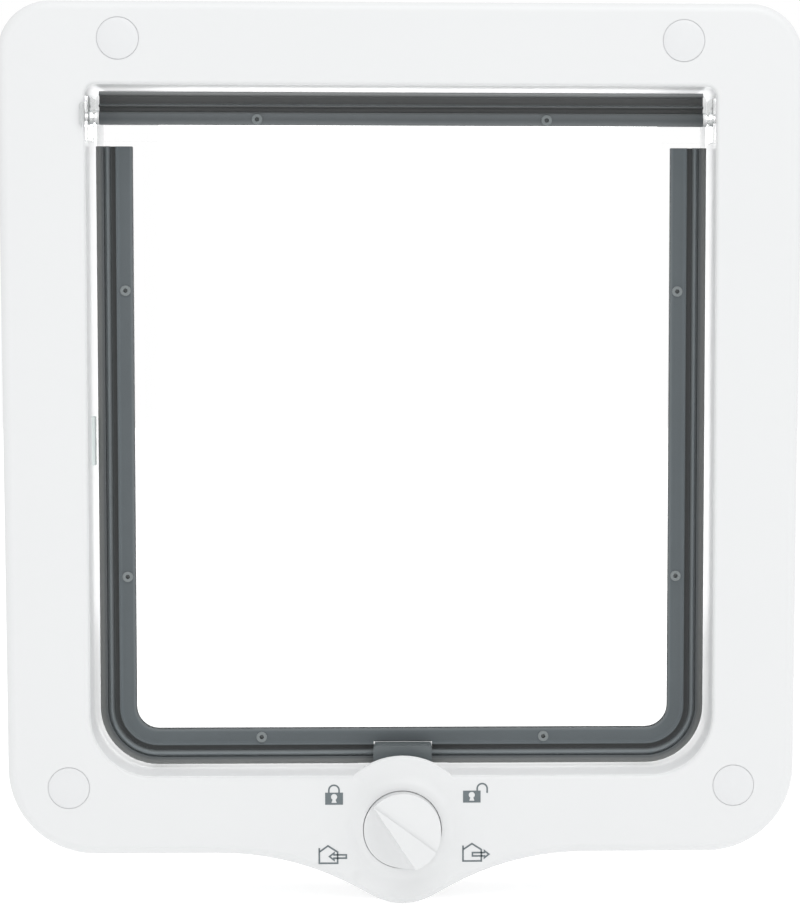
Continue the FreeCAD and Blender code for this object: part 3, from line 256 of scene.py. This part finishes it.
@dataclass(frozen=True)
class SealWithPaintedShading:
    """Grey seal rubber with painted highlight on its lip and ridges and painted shade in its
    grooves, by the distance from its outer edge.
    """

    name: str
    colour: tuple
    painted_shading: tuple
    width: float = 14.0
    roughness: float = 0.55
    specular: float = 0.4
    fine: float = 900.0
    broad: float = 60.0
    spread: float = 0.10
    bump: float = 0.3
    depth: float = 0.00004

    def ramp(self, tree: bpy.types.NodeTree) -> bpy.types.NodeSocket:
        """Make the painted shade and highlight along the section.

        Args:
            tree: The material's node tree.

        Returns:
            The socket with the painted shading's colour as a share of TONE_SPAN.
        """
        distance = tree.nodes.new("ShaderNodeAttribute")
        distance.attribute_name = EDGE_DISTANCE
        place = tree.nodes.new("ShaderNodeMath")
        place.operation = "DIVIDE"
        place.inputs[1].default_value = self.width
        ramp = tree.nodes.new("ShaderNodeValToRGB")
        stops = ramp.color_ramp.elements
        while len(stops) > 1:
            stops.remove(stops[-1])
        # Each stop paints the light and shade of the seal's section into its colour.
        for index, (millimetres, painted_tone, reflection_warmth) in enumerate(self.painted_shading):
            stop = stops[0] if index == 0 else stops.new(millimetres / self.width)
            stop.position = millimetres / self.width
            share = painted_tone / TONE_SPAN
            stop.color = (*[share * (1 + reflection_warmth * (warm - 1)) for warm in WARM_REFLECTION], 1.0)
        link_all(
            tree,
            [
                (distance.outputs["Fac"], place.inputs[0]),
                (place.outputs[0], ramp.inputs["Fac"]),
            ],
        )
        return ramp.outputs["Color"]

    def material(self) -> bpy.types.Material:
        """Make the finish's material, once.

        Returns:
            The material.
        """
        found = bpy.data.materials.get(self.name)
        if found:
            return found
        material, tree, shader = new_material(self.name)
        shader.inputs["Roughness"].default_value = self.roughness
        shader.inputs["Specular IOR Level"].default_value = self.specular
        mottle = add_mottle(tree, self.fine, self.broad, self.spread)
        # Painted light: the lips along the foot are made lighter where the sill's light would fall
        # on them.
        gain = tree.nodes.new("ShaderNodeAttribute")
        gain.attribute_name = FOOT_PAINTED_LIGHT
        strength = tree.nodes.new("ShaderNodeMath")
        strength.operation = "MULTIPLY"
        painted_tone = tree.nodes.new("ShaderNodeVectorMath")
        painted_tone.operation = "MULTIPLY"
        painted_tone.inputs[1].default_value = [TONE_SPAN * part for part in self.colour]
        tint = tree.nodes.new("ShaderNodeVectorMath")
        tint.operation = "SCALE"
        bump = tree.nodes.new("ShaderNodeBump")
        bump.inputs["Strength"].default_value = self.bump
        bump.inputs["Distance"].default_value = self.depth
        link_all(
            tree,
            [
                (self.ramp(tree), painted_tone.inputs[0]),
                (mottle.outputs["Shade"], strength.inputs[0]),
                (gain.outputs["Fac"], strength.inputs[1]),
                (painted_tone.outputs["Vector"], tint.inputs[0]),
                (strength.outputs[0], tint.inputs["Scale"]),
                (tint.outputs["Vector"], shader.inputs["Base Color"]),
                (mottle.outputs["Height"], bump.inputs["Height"]),
                (bump.outputs["Normal"], shader.inputs["Normal"]),
            ],
        )
        return material


@dataclass(frozen=True)
class ClearPlastic:
    """A clear sheet or block."""

    name: str
    colour: tuple = (1.0, 1.0, 1.0)
    edge_shade_colour: tuple = (0.55, 0.60, 0.60)
    roughness: float = 0.02
    clearness: float = 1.0
    ior: float = 1.49
    fine: float = 60.0
    broad: float = 12.0
    spread: float = 0.3

    def material(self) -> bpy.types.Material:
        """Make the finish's material, once.

        Returns:
            The material.
        """
        found = bpy.data.materials.get(self.name)
        if found:
            return found
        material, tree, shader = new_material(self.name)
        shader.inputs["Transmission Weight"].default_value = self.clearness
        shader.inputs["IOR"].default_value = self.ior
        mottle = add_mottle(tree, self.fine, self.broad, self.spread)
        blur = tree.nodes.new("ShaderNodeMath")
        blur.operation = "MULTIPLY"
        blur.inputs[1].default_value = self.roughness
        # Faces seen edge-on are tinted towards the darker edge colour: painted shade of the clear
        # edges.
        edge = tree.nodes.new("ShaderNodeAttribute")
        edge.attribute_name = CLEAR_EDGE_SHADE
        tint = tree.nodes.new("ShaderNodeMix")
        tint.data_type = "RGBA"
        tint.inputs["A"].default_value = (*self.colour, 1.0)
        tint.inputs["B"].default_value = (*self.edge_shade_colour, 1.0)
        link_all(
            tree,
            [
                (edge.outputs["Fac"], tint.inputs["Factor"]),
                (tint.outputs["Result"], shader.inputs["Base Color"]),
                (mottle.outputs["Shade"], blur.inputs[0]),
                (blur.outputs[0], shader.inputs["Roughness"]),
            ],
        )
        return material


@dataclass(frozen=True)
class BrightMetal:
    """Zinc plated or rolled steel, or a coated magnet."""

    name: str
    colour: tuple
    roughness: float = 0.3
    fine: float = 700.0
    broad: float = 150.0
    spread: float = 0.5

    def material(self) -> bpy.types.Material:
        """Make the finish's material, once.

        Returns:
            The material.
        """
        found = bpy.data.materials.get(self.name)
        if found:
            return found
        material, tree, shader = new_material(self.name)
        shader.inputs["Base Color"].default_value = (*self.colour, 1.0)
        shader.inputs["Metallic"].default_value = 1.0
        mottle = add_mottle(tree, self.fine, self.broad, self.spread)
        blur = tree.nodes.new("ShaderNodeMath")
        blur.operation = "MULTIPLY"
        blur.inputs[1].default_value = self.roughness
        link_all(
            tree,
            [
                (mottle.outputs["Shade"], blur.inputs[0]),
                (blur.outputs[0], shader.inputs["Roughness"]),
            ],
        )
        return material


WHITE = MouldedPlastic(
    "white_satin_plastic", (0.600, 0.608, 0.612), 0.42, specular=0.35, spread=0.012
)
# Lighter white for the passage's walls: painted light.
PASSAGE_PAINTED_LIGHT_WHITE = MouldedPlastic(
    "white_passage_painted_light", (0.80, 0.81, 0.815), 0.35, specular=0.4, spread=0.012
)
CAP_WHITE = MouldedPlastic(
    "white_cap_plastic", (0.589, 0.597, 0.604), 0.38, specular=0.35, spread=0.012
)
# Each stop: millimetres in from the seal's outer edge, painted shading against the finish's colour
# (above 1 painted highlight, below 1 painted shade), warmth of a painted warm reflection.
SURROUND_PAINTED_SHADING = (
    (0.3, 2.3, 1.0), (1.0, 1.55, 1.0), (2.4, 0.8, 0.5), (3.5, 1.5, 0.3),
    (4.4, 1.85, 0.3), (5.3, 1.1, 0.5), (6.0, 0.42, 0.6), (7.1, 0.42, 0.6),
    (7.9, 1.25, 0.0), (9.2, 1.0, 0.0), (12.6, 1.0, 0.0), (13.4, 1.4, 0.3),
)
TOP_PAINTED_SHADING = (
    (0.4, 2.8, 0.5), (1.1, 1.8, 0.5), (2.3, 0.75, 0.5), (4.2, 0.78, 0.5),
    (5.0, 2.1, 0.2), (5.7, 0.6, 0.5), (6.8, 0.8, 0.5), (7.9, 0.85, 0.3),
    (8.7, 1.15, 0.0), (10.5, 0.87, 0.0), (11.3, 1.1, 0.0), (12.2, 1.5, 0.2),
)
# The seals' colours carry painted shade in the grooves and painted highlight on the lip and ridges.
SURROUND_SEAL = SealWithPaintedShading("grey_surround_seal", (0.073, 0.086, 0.093), SURROUND_PAINTED_SHADING)
TOP_SEAL = SealWithPaintedShading("grey_top_seal", (0.084, 0.094, 0.099), TOP_PAINTED_SHADING)
LATCH_GREY = MouldedPlastic(
    "grey_latch_plastic", (0.095, 0.110, 0.116), 0.42, spread=0.06, broad=80.0
)
RIVET_GREY = MouldedPlastic("grey_staked_rivet", (0.150, 0.168, 0.172), 0.4, spread=0.06)
PAD_GREY = MouldedPlastic("pale_side_pad", (0.58, 0.63, 0.62), 0.7, spread=0.05)
SIGN_GREY = MouldedPlastic("sign_grey_print", (0.106, 0.128, 0.137), 0.5, spread=0.02)
CLEAR_SHEET = ClearPlastic("clear_flap_sheet", roughness=0.02)
CLEAR_BLOCK = ClearPlastic(
    "clear_hinge_block", (0.985, 0.99, 0.99), (0.80, 0.82, 0.82), 0.04, 0.97, 1.22
)
ZINC = BrightMetal("zinc_plated_steel", (0.62, 0.63, 0.62), 0.28)
SPRING = BrightMetal("rolled_spring_steel", (0.50, 0.51, 0.52), 0.25)
MAGNET = BrightMetal("coated_magnet", (0.09, 0.09, 0.10), 0.35)


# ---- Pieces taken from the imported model


def finish_mesh(
    name: str, mesh: bmesh.types.BMesh, finish: Finish, smooth_angle: float = 35.0
) -> bpy.types.Object:
    """Turn a bmesh into a dressed object at the origin.

    Args:
        name: The object's name.
        mesh: The finished bmesh, which is freed.
        finish: The finish of the piece.
        smooth_angle: Edges sharper than this angle in degrees stay sharp.

    Returns:
        The new object.
    """
    limit = math.radians(smooth_angle)
    for face in mesh.faces:
        face.smooth = True
    for edge in mesh.edges:
        edge.smooth = not (edge.is_manifold and edge.calc_face_angle(0.0) > limit)
    data = bpy.data.meshes.new(name)
    mesh.to_mesh(data)
    mesh.free()
    data.materials.append(finish.material())
    item = bpy.data.objects.new(name, data)
    bpy.context.scene.collection.objects.link(item)
    return item


def dress_node(
    node: str, finish: Finish, smooth_angle: float = 35.0
) -> bpy.types.Object:
    """Show a CAD node through a merged copy with smooth curved faces.

    Args:
        node: The CAD node's name.
        finish: The finish of the piece.
        smooth_angle: Edges sharper than this angle in degrees stay sharp.

    Returns:
        The piece that stands for the node.
    """
    source = frame["nodes"][node]
    mesh = bmesh.new()
    mesh.from_mesh(source.data)
    bmesh.ops.remove_doubles(mesh, verts=mesh.verts, dist=MERGE_DISTANCE)
    piece = finish_mesh(node + "_piece", mesh, finish, smooth_angle)
    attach(piece, source["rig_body"])
    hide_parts(node)
    LOG.info("dressed %s", node)
    return piece


def mark_edges(piece: bpy.types.Object) -> None:
    """Mark the faces of a clear piece that are seen edge-on, which get a darker tint as painted
    shade.
    """
    values = [float(abs(face.normal.y) < EDGE_ON) for face in piece.data.polygons]
    piece.data.attributes.new(CLEAR_EDGE_SHADE, "FLOAT", "FACE").data.foreach_set("value", values)


@dataclass
class IndoorFrame:
    """The indoor flange with its tunnel, sill, caps and the parts that are fixed to it."""

    front: float = -12.0
    open_half: float = 118.25
    open_up: float = 130.65
    wall_reach: float = 0.3
    mouth_round: float = 0.9
    cap_radius: float = 7.7
    cap_gap: float = 0.3
    skirt_play: float = 0.02
    skirt_drop: float = 0.24
    skirt_deep: float = 0.8
    skirt_steps: int = 96
    caps: tuple = ((-105.75, 147.6), (105.75, 147.6), (-126.45, -134.75), (126.45, -134.75))

    def in_passage(self, point: Vector) -> bool:
        """Tell whether a point of the indoor frame lies on the passage's walls, behind their mouth.

        Args:
            point: The point in metres.

        Returns:
            True on the walls.
        """
        across, up = abs(point.x) / MM, abs(point.z) / MM
        inside = across < self.open_half + self.wall_reach and up < self.open_up + self.wall_reach
        return inside and point.y / MM > self.front + self.mouth_round

    def passage(self, piece: bpy.types.Object) -> None:
        """Give the passage's walls a lighter white, painted light that stands in for the light
        reaching in along the passage, and a little more gloss, which a polished mould core leaves.

        Args:
            piece: The indoor frame's piece.
        """
        piece.data.materials.append(PASSAGE_PAINTED_LIGHT_WHITE.material())
        for face in piece.data.polygons:
            if self.in_passage(face.center):
                face.material_index = 1

    def cap_skirts(self) -> None:
        """Build the thin skirts of the press-in caps, which fill the gap to their seats."""
        mesh = bmesh.new()
        low = (self.front + self.skirt_drop) * MM
        for across, up in self.caps:
            middle = Vector((across * MM, low, up * MM))
            inner = (self.cap_radius + self.skirt_play) * MM
            outer = (self.cap_radius + self.cap_gap - self.skirt_play) * MM
            deep = self.skirt_deep * MM
            corners = ((inner, 0), (outer, 0), (outer, deep), (inner, deep))
            points = [mesh.verts.new(middle + Vector((x, y, 0))) for x, y in corners]
            edges = [mesh.edges.new((points[i], points[(i + 1) % 4])) for i in range(4)]
            bmesh.ops.spin(
                mesh, geom=[*points, *edges], cent=middle, axis=(0, 1, 0),
                angle=math.tau, steps=self.skirt_steps, use_merge=True,
            )
        bmesh.ops.recalc_face_normals(mesh, faces=mesh.faces)
        piece = finish_mesh("cap_skirts", mesh, CAP_WHITE)
        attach(piece, "frame")
        LOG.info("built %s", piece.name)

    def build(self) -> None:
        """Dress the frames, caps, screws and the side pad."""
        self.passage(dress_node("indoor_frame", WHITE, 32.0))
        dress_node("outdoor_frame", WHITE, 32.0)
        dress_node("screw_caps", CAP_WHITE, 20.0)
        self.cap_skirts()
        dress_node("fixing_screws", ZINC)
        dress_node("side_pad", PAD_GREY)
        dress_node("mechanism_cover", WHITE)
        dress_node("cover_screws", ZINC)
        dress_node("detent_spring", SPRING)
        dress_node("sill_magnets", MAGNET)


@dataclass
class Hinge:
    """The two clear bearing blocks at the head of the flap."""

    def build(self) -> None:
        """Dress the blocks."""
        for side in ("left", "right"):
            mark_edges(dress_node("hinge_block_" + side, CLEAR_BLOCK))


@dataclass
class Flap:
    """The clear swinging flap with its grey seals, rivets and magnets."""

    seal_half: float = 116.5
    seal_foot: float = 129.35
    seal_corner: float = 22.3
    top_seal_up: float = 129.15
    lip_start: float = 33.0
    lip_end: float = 11.25
    notch_half: float = 11.58
    lip_shrink: float = 0.985
    foot_light: float = 0.35
    lips_end: float = 6.2
    lips_fade: float = 0.8
    notch_up: float = 120.3
    notch_lip: float = 0.40
    notch_depth: tuple = (7.0, 12.0)
    sharp_from: float = 50.0

    def surround_distance(self, point: Vector) -> float:
        """Return how far in from the surround seal's outer edge a point lies.

        Args:
            point: The point in metres.

        Returns:
            The distance in millimetres, across the sides, the foot and the round corners alike.
        """
        across = abs(point.x) / MM - (self.seal_half - self.seal_corner)
        down = -point.z / MM - (self.seal_foot - self.seal_corner)
        reach = math.hypot(max(across, 0.0), max(down, 0.0)) + min(max(across, down), 0.0)
        return self.seal_corner - reach

    def top_distance(self, point: Vector) -> float:
        """Return how far down from the top seal's upper edge a point lies, in millimetres."""
        return self.top_seal_up - point.z / MM

    def dress_seal(
        self, node: str, finish: SealWithPaintedShading, measure: Callable[[Vector], float]
    ) -> None:
        """Dress a seal and write on its points how far in from the edge they lie.

        Args:
            node: The seal's node.
            finish: Its finish.
            measure: Function that gives a point's distance from the outer edge.
        """
        self.mark(dress_node(node, finish, self.sharp_from), measure)

    def gain(self, point: Vector, distance: float) -> float:
        """Return how much lighter the lips are here: those along the foot catch the sill's light.

        Args:
            point: The point in metres.
            distance: How far in from the outer edge it lies, in millimetres.

        Returns:
            A factor of 1 or more.
        """
        across = max(abs(point.x) / MM - (self.seal_half - self.seal_corner), 0.0)
        down = max(-point.z / MM - (self.seal_foot - self.seal_corner), 0.0)
        turned = down / math.hypot(across, down) if down else 0.0
        lips = min(max((self.lips_end - distance) / self.lips_fade, 0.0), 1.0)
        return 1.0 + self.foot_light * turned * lips

    def mark(self, piece: bpy.types.Object, measure: Callable[[Vector], float]) -> None:
        """Write on a seal's points how far in from its edge they lie, and how much painted light
        their lips get.

        Args:
            piece: The seal's piece.
            measure: Function that gives a point's distance from the outer edge.
        """
        distances = [max(measure(vertex.co), 0.0) for vertex in piece.data.vertices]
        gains = [
            self.gain(vertex.co, far) for vertex, far in zip(piece.data.vertices, distances)
        ]
        for name, values in ((EDGE_DISTANCE, distances), (FOOT_PAINTED_LIGHT, gains)):
            piece.data.attributes.new(name, "FLOAT", "POINT").data.foreach_set("value", values)

    def foot_lip(self, node: str, side: int) -> None:
        """Sweep a seal's own section on to the latch, as the soft foot of the seal does.

        Args:
            node: The seal's node.
            side: -1 for the left half of the foot, 1 for the right.
        """
        source = frame["nodes"][node]
        mesh = bmesh.new()
        mesh.from_mesh(source.data)
        bmesh.ops.remove_doubles(mesh, verts=mesh.verts, dist=MERGE_DISTANCE)
        section = bmesh.ops.bisect_plane(
            mesh,
            geom=[*mesh.verts, *mesh.edges, *mesh.faces],
            plane_co=(side * self.lip_start * MM, 0, 0),
            plane_no=(1, 0, 0),
            clear_outer=True,
            clear_inner=True,
        )
        ring = [item for item in section["geom_cut"] if isinstance(item, bmesh.types.BMEdge)]
        points = [item for item in section["geom_cut"] if isinstance(item, bmesh.types.BMVert)]
        middle = sum((point.co for point in points), Vector()) / len(points)
        bmesh.ops.scale(
            mesh,
            verts=points,
            vec=(1, self.lip_shrink, self.lip_shrink),
            space=Matrix.Translation(-middle),
        )
        grown = bmesh.ops.extrude_edge_only(mesh, edges=ring)["geom"]
        ends = [item for item in grown if isinstance(item, bmesh.types.BMVert)]
        sweep = side * (self.lip_end - self.lip_start) * MM
        bmesh.ops.translate(mesh, verts=ends, vec=(sweep, 0, 0))
        far_ring = [item for item in grown if isinstance(item, bmesh.types.BMEdge)]
        for loop in (ring, [edge for edge in far_ring if edge.is_boundary]):
            bmesh.ops.triangle_fill(mesh, edges=loop, use_beauty=True)
        bmesh.ops.recalc_face_normals(mesh, faces=mesh.faces)
        name = "%s_foot_%s" % (node, "left" if side < 0 else "right")
        piece = finish_mesh(name, mesh, SURROUND_SEAL, self.sharp_from)
        self.mark(piece, self.surround_distance)
        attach(piece, source["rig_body"])
        LOG.info("built %s", piece.name)

    def notch_edge(self) -> None:
        """Build the soft edge at the top of the notch, which closes on the latch's head."""
        near, far = self.notch_depth
        centre = Vector((0, (near + far) / 2, -(self.notch_up + self.notch_lip / 2))) * MM
        size = Vector((2 * self.notch_half, far - near, self.notch_lip)) * MM
        place = Matrix.Translation(centre) @ Matrix.Diagonal((*size, 1))
        mesh = bmesh.new()
        bmesh.ops.create_cube(mesh, size=1.0, matrix=place)
        piece = finish_mesh("seal_notch_edge", mesh, SURROUND_SEAL, self.sharp_from)
        self.mark(piece, self.surround_distance)
        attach(piece, frame["nodes"]["surround_seal_indoor"]["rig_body"])
        LOG.info("built %s", piece.name)

    def build(self) -> None:
        """Dress the flap's pieces."""
        mark_edges(dress_node("flap_pane", CLEAR_SHEET))
        for side in ("indoor", "outdoor"):
            self.dress_seal("surround_seal_" + side, SURROUND_SEAL, self.surround_distance)
            self.dress_seal("top_seal_" + side, TOP_SEAL, self.top_distance)
            for half in (-1, 1):
                self.foot_lip("surround_seal_" + side, half)
        self.notch_edge()
        dress_node("seal_rivets", RIVET_GREY)
        dress_node("flap_magnets", MAGNET)


@dataclass
class Lock:
    """The knob, its shaft and the two latches."""

    def build(self) -> None:
        """Dress the lock's pieces."""
        dress_node("knob", WHITE, 25.0)
        dress_node("cam_shaft", WHITE)
        dress_node("knob_screw", ZINC)
        dress_node("front_latch", LATCH_GREY)
        dress_node("rear_latch", LATCH_GREY)


# ---- Signs on the flange


@dataclass
class Sign:
    """Printed sign beside the knob, a thin raised layer on the flange's face."""

    setting: Setting
    face: float
    thick: float = 0.08 * MM
    stroke: float = 0.62 * MM
    bend_steps: int = 16
    key_height: float = 0.64
    key_radius: float = 1.18
    key_start: float = -60.0
    key_turn: float = 300.0
    key_steps: int = 12
    key_foot: float = 0.7
    key_half: float = 1.0
    leg_hang: float = 0.9
    wall_tick: float = 1.4
    arrow_head: float = 2.5
    arrow_shaft: float = 0.95
    arrow_barb: float = 1.95

    def plate(self, mesh: bmesh.types.BMesh, corners: list) -> bmesh.types.BMFace:
        """Add a flat face on the flange through corners given as (x, z) in millimetres."""
        ring = [mesh.verts.new(Vector((x * MM, self.face, z * MM))) for x, z in corners]
        return mesh.faces.new(ring)

    def outline(self, mesh: bmesh.types.BMesh, corners: list) -> None:
        """Add the outline of a closed shape, one stroke wide, drawn inwards.

        Args:
            mesh: The sign's bmesh.
            corners: The shape's corners as (x, z) in millimetres.
        """
        inside = self.plate(mesh, corners)
        inside.normal_update()
        bmesh.ops.inset_region(
            mesh, faces=[inside], thickness=self.stroke, use_boundary=True, use_even_offset=True
        )
        bmesh.ops.delete(mesh, geom=[inside], context="FACES_ONLY")

    def bend(self, mesh: bmesh.types.BMesh, centre: tuple, radius: float) -> None:
        """Sweep a stroke round the upper half of a circle.

        Args:
            mesh: The sign's bmesh.
            centre: Centre as (x, z) in millimetres.
            radius: Middle radius in millimetres.
        """
        half = self.stroke / 2
        middle = Vector((centre[0] * MM, self.face, centre[1] * MM))
        reaches = (radius * MM - half, radius * MM + half)
        ends = [mesh.verts.new(middle + Vector((reach, 0, 0))) for reach in reaches]
        edge = mesh.edges.new(ends)
        bmesh.ops.spin(
            mesh,
            geom=[edge, *ends],
            cent=middle,
            axis=(0, -1, 0),
            angle=math.pi,
            steps=self.bend_steps,
        )

    def raised(self, name: str, mesh: bmesh.types.BMesh) -> bpy.types.Object:
        """Give the sign its thickness and put it on the flange.

        Args:
            name: The piece's name.
            mesh: The flat sign, which is freed.

        Returns:
            The sign's piece.
        """
        bmesh.ops.remove_doubles(mesh, verts=mesh.verts, dist=MERGE_DISTANCE)
        base = list(mesh.faces)
        for part in base:
            part.normal_update()
            if part.normal.y > 0:
                part.normal_flip()
        grown = bmesh.ops.extrude_face_region(mesh, geom=base)
        tops = [item for item in grown["geom"] if isinstance(item, bmesh.types.BMVert)]
        bmesh.ops.translate(mesh, verts=tops, vec=(0, -self.thick, 0))
        bmesh.ops.recalc_face_normals(mesh, faces=mesh.faces)
        piece = finish_mesh(name, mesh, SIGN_GREY, 30.0)
        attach(piece, "frame")
        LOG.info("built %s", name)
        return piece

    def keyhole(self, body: tuple) -> list:
        """Work out a keyhole's outline.

        Args:
            body: Left, right, lower and upper edge of the padlock's body in millimetres.

        Returns:
            Its corners as (x, z) in millimetres.
        """
        left, right, low, high = body
        middle = (left + right) / 2
        up = low + (high - low) * self.key_height
        corners = []
        for step in range(self.key_steps + 1):
            angle = math.radians(self.key_start + step * self.key_turn / self.key_steps)
            across = middle + self.key_radius * math.cos(angle)
            corners.append((across, up + self.key_radius * math.sin(angle)))
        foot = low + self.key_foot
        return corners + [(middle - self.key_half, foot), (middle + self.key_half, foot)]

    def padlock(self, body: tuple, shackle: tuple, is_open: bool) -> None:
        """Build a padlock with a keyhole.

        Args:
            body: Left, right, lower and upper edge of its body in millimetres.
            shackle: Centre (x, z) and middle radius of the shackle's bend.
            is_open: Whether the shackle's far leg hangs free.
        """
        mesh = bmesh.new()
        left, right, low, high = body
        block = self.plate(mesh, [(left, low), (right, low), (right, high), (left, high)])
        hole = [
            mesh.verts.new(Vector((x * MM, self.face, z * MM))) for x, z in self.keyhole(body)
        ]
        rim = [mesh.edges.new((hole[i], hole[(i + 1) % len(hole)])) for i in range(len(hole))]
        border = list(block.edges)
        bmesh.ops.delete(mesh, geom=[block], context="FACES_ONLY")
        bmesh.ops.triangle_fill(mesh, use_beauty=True, edges=border + rim)
        centre_x, top, radius = shackle
        self.bend(mesh, (centre_x, top), radius)
        half = self.stroke / MM / 2
        far_end = high - self.leg_hang if is_open else high
        for side, end in ((-1, high), (1, far_end)):
            x = centre_x + side * radius
            self.plate(mesh, [(x - half, end), (x + half, end), (x + half, top), (x - half, top)])
        self.raised("sign_" + self.setting.value, mesh)

    def house(self, body: tuple, apex: tuple, tip: tuple, tail: float) -> None:
        """Build a house with an arrow through its wall.

        Args:
            body: Left and right wall, floor line and eaves in millimetres.
            apex: Top of the roof as (x, z).
            tip: Tip of the arrow as (x, z).
            tail: Where the arrow starts across.
        """
        mesh = bmesh.new()
        left, right, base, eaves = body
        self.outline(mesh, [(left, base), (right, base), (right, eaves), apex, (left, eaves)])
        inner, top = left + self.stroke / MM, eaves + self.wall_tick
        self.plate(mesh, [(left, eaves), (inner, eaves), (inner, top), (left, top)])
        point, middle = tip
        way = 1 if point > tail else -1
        neck = point - way * self.arrow_head
        low, high = middle - self.arrow_shaft, middle + self.arrow_shaft
        corners = [
            (tail, low), (neck, low), (neck, middle - self.arrow_barb), tip,
            (neck, middle + self.arrow_barb), (neck, high), (tail, high),
        ]
        if way < 0:
            corners.reverse()
        self.outline(mesh, corners)
        self.raised("sign_" + self.setting.value, mesh)


@dataclass
class LockSigns:
    """The four signs round the knob."""

    face: float

    def sign(self, setting: Setting) -> Sign:
        """Return the bare sign of a setting."""
        return Sign(setting, self.face)

    def build(self) -> None:
        """Build all four signs on the flange's face."""
        self.sign(Setting.LOCKED).padlock(
            (-29.4, -22.6, -141.6, -136.95), (-26.05, -136.05, 1.95), False
        )
        self.sign(Setting.OPEN).padlock((23.1, 29.8, -141.0, -136.4), (30.4, -135.6, 1.9), True)
        self.sign(Setting.IN_ONLY).house(
            (-32.0, -24.4, -164.5, -159.7), (-28.4, -157.1), (-28.3, -161.6), -21.1
        )
        self.sign(Setting.OUT_ONLY).house(
            (22.8, 30.4, -163.9, -159.0), (26.5, -156.5), (33.5, -161.0), 26.4
        )


# ---- Floor, light and camera


@dataclass
class Studio:
    """Pale floor, soft light and the camera at the photograph's angle."""

    place: tuple = (7.1 * MM, -1012.0 * MM, 62.7 * MM)
    yaw: float = 1.868
    pitch: float = 4.004
    roll: float = 0.106
    focal_pixels: float = 2652.3
    middle_pixels: tuple = (507.2, 453.0)
    floor_size: float = 6.0
    floor_drop: float = 0.4 * MM
    floor_grey: float = 0.70
    floor_glow: float = 0.60
    sky: float = 1.0
    lamps: tuple = (
        ("key_light", (0.9, -1.8, 2.4), 1.8, 26.0),
        ("top_light", (0.0, -0.7, 1.7), 1.0, 6.0),
        ("back_light", (0.0, 0.60, 0.0), 0.30, 0.5),
    )

    def floor(self) -> None:
        """Build the plain pale floor under the part."""
        low = CAD_BOX[0][2] - self.floor_drop
        mesh = bmesh.new()
        bmesh.ops.create_grid(mesh, x_segments=1, y_segments=1, size=self.floor_size / 2)
        bmesh.ops.translate(mesh, verts=mesh.verts, vec=(0, 0, low))
        material, _, shader = new_material("pale_floor")
        shader.inputs["Base Color"].default_value = (*[self.floor_grey] * 3, 1.0)
        shader.inputs["Roughness"].default_value = 0.9
        shader.inputs["Specular IOR Level"].default_value = 0.1
        shader.inputs["Emission Color"].default_value = (1.0, 1.0, 1.0, 1.0)
        shader.inputs["Emission Strength"].default_value = self.floor_glow
        data = bpy.data.meshes.new("studio_floor")
        mesh.to_mesh(data)
        mesh.free()
        data.materials.append(material)
        item = bpy.data.objects.new("studio_floor", data)
        bpy.context.scene.collection.objects.link(item)

    def lamp(self, name: str, place: tuple, size: float, power: float) -> None:
        """Add a soft square light aimed at the part.

        Args:
            name: Its name.
            place: Where it stands.
            size: Width of its face.
            power: Its power in watts.
        """
        data = bpy.data.lights.new(name, "AREA")
        data.shape = "SQUARE"
        data.size = size
        data.energy = power
        item = bpy.data.objects.new(name, data)
        item.location = place
        item.rotation_euler = (-Vector(place)).to_track_quat("-Z", "Y").to_euler()
        bpy.context.scene.collection.objects.link(item)

    def light(self) -> None:
        """Light the part softly from all round, a little more from above."""
        world = bpy.data.worlds.new("studio_world")
        world.use_nodes = True
        back = world.node_tree.nodes["Background"]
        back.inputs["Color"].default_value = (1.0, 1.0, 1.0, 1.0)
        back.inputs["Strength"].default_value = self.sky
        bpy.context.scene.world = world
        for name, place, size, power in self.lamps:
            self.lamp(name, place, size, power)

    def camera(self) -> None:
        """Place the camera of the photograph."""
        turn, drop = math.radians(self.yaw), math.radians(self.pitch)
        level = math.cos(drop)
        way = Vector((math.sin(turn) * level, math.cos(turn) * level, -math.sin(drop)))
        data = bpy.data.cameras.new("photo_camera")
        data.sensor_fit = "VERTICAL"
        data.sensor_height = 24.0
        data.lens = self.focal_pixels / IMAGE_HEIGHT * data.sensor_height
        data.clip_start = 0.01
        data.clip_end = 50.0
        item = bpy.data.objects.new("photo_camera", data)
        data.shift_x = (IMAGE_WIDTH / 2 - self.middle_pixels[0]) / IMAGE_HEIGHT
        data.shift_y = (self.middle_pixels[1] - IMAGE_HEIGHT / 2) / IMAGE_HEIGHT
        item.location = self.place
        turned = way.to_track_quat("-Z", "Y").to_matrix()
        item.rotation_euler = (turned @ Matrix.Rotation(math.radians(self.roll), 3, "Z")).to_euler()
        bpy.context.scene.collection.objects.link(item)
        bpy.context.scene.camera = item

    def build(self) -> None:
        """Build floor, light and camera."""
        self.floor()
        self.light()
        self.camera()
        bpy.context.scene.view_settings.view_transform = "Standard"


def main() -> None:
    """Build every sub-assembly in order."""
    logging.basicConfig(level=logging.INFO, format="%(name)s: %(message)s")
    IndoorFrame().build()
    Hinge().build()
    Flap().build()
    Lock().build()
    LockSigns(face=-12.0 * MM).build()
    Studio().build()


if __name__ == "__main__":
    main()
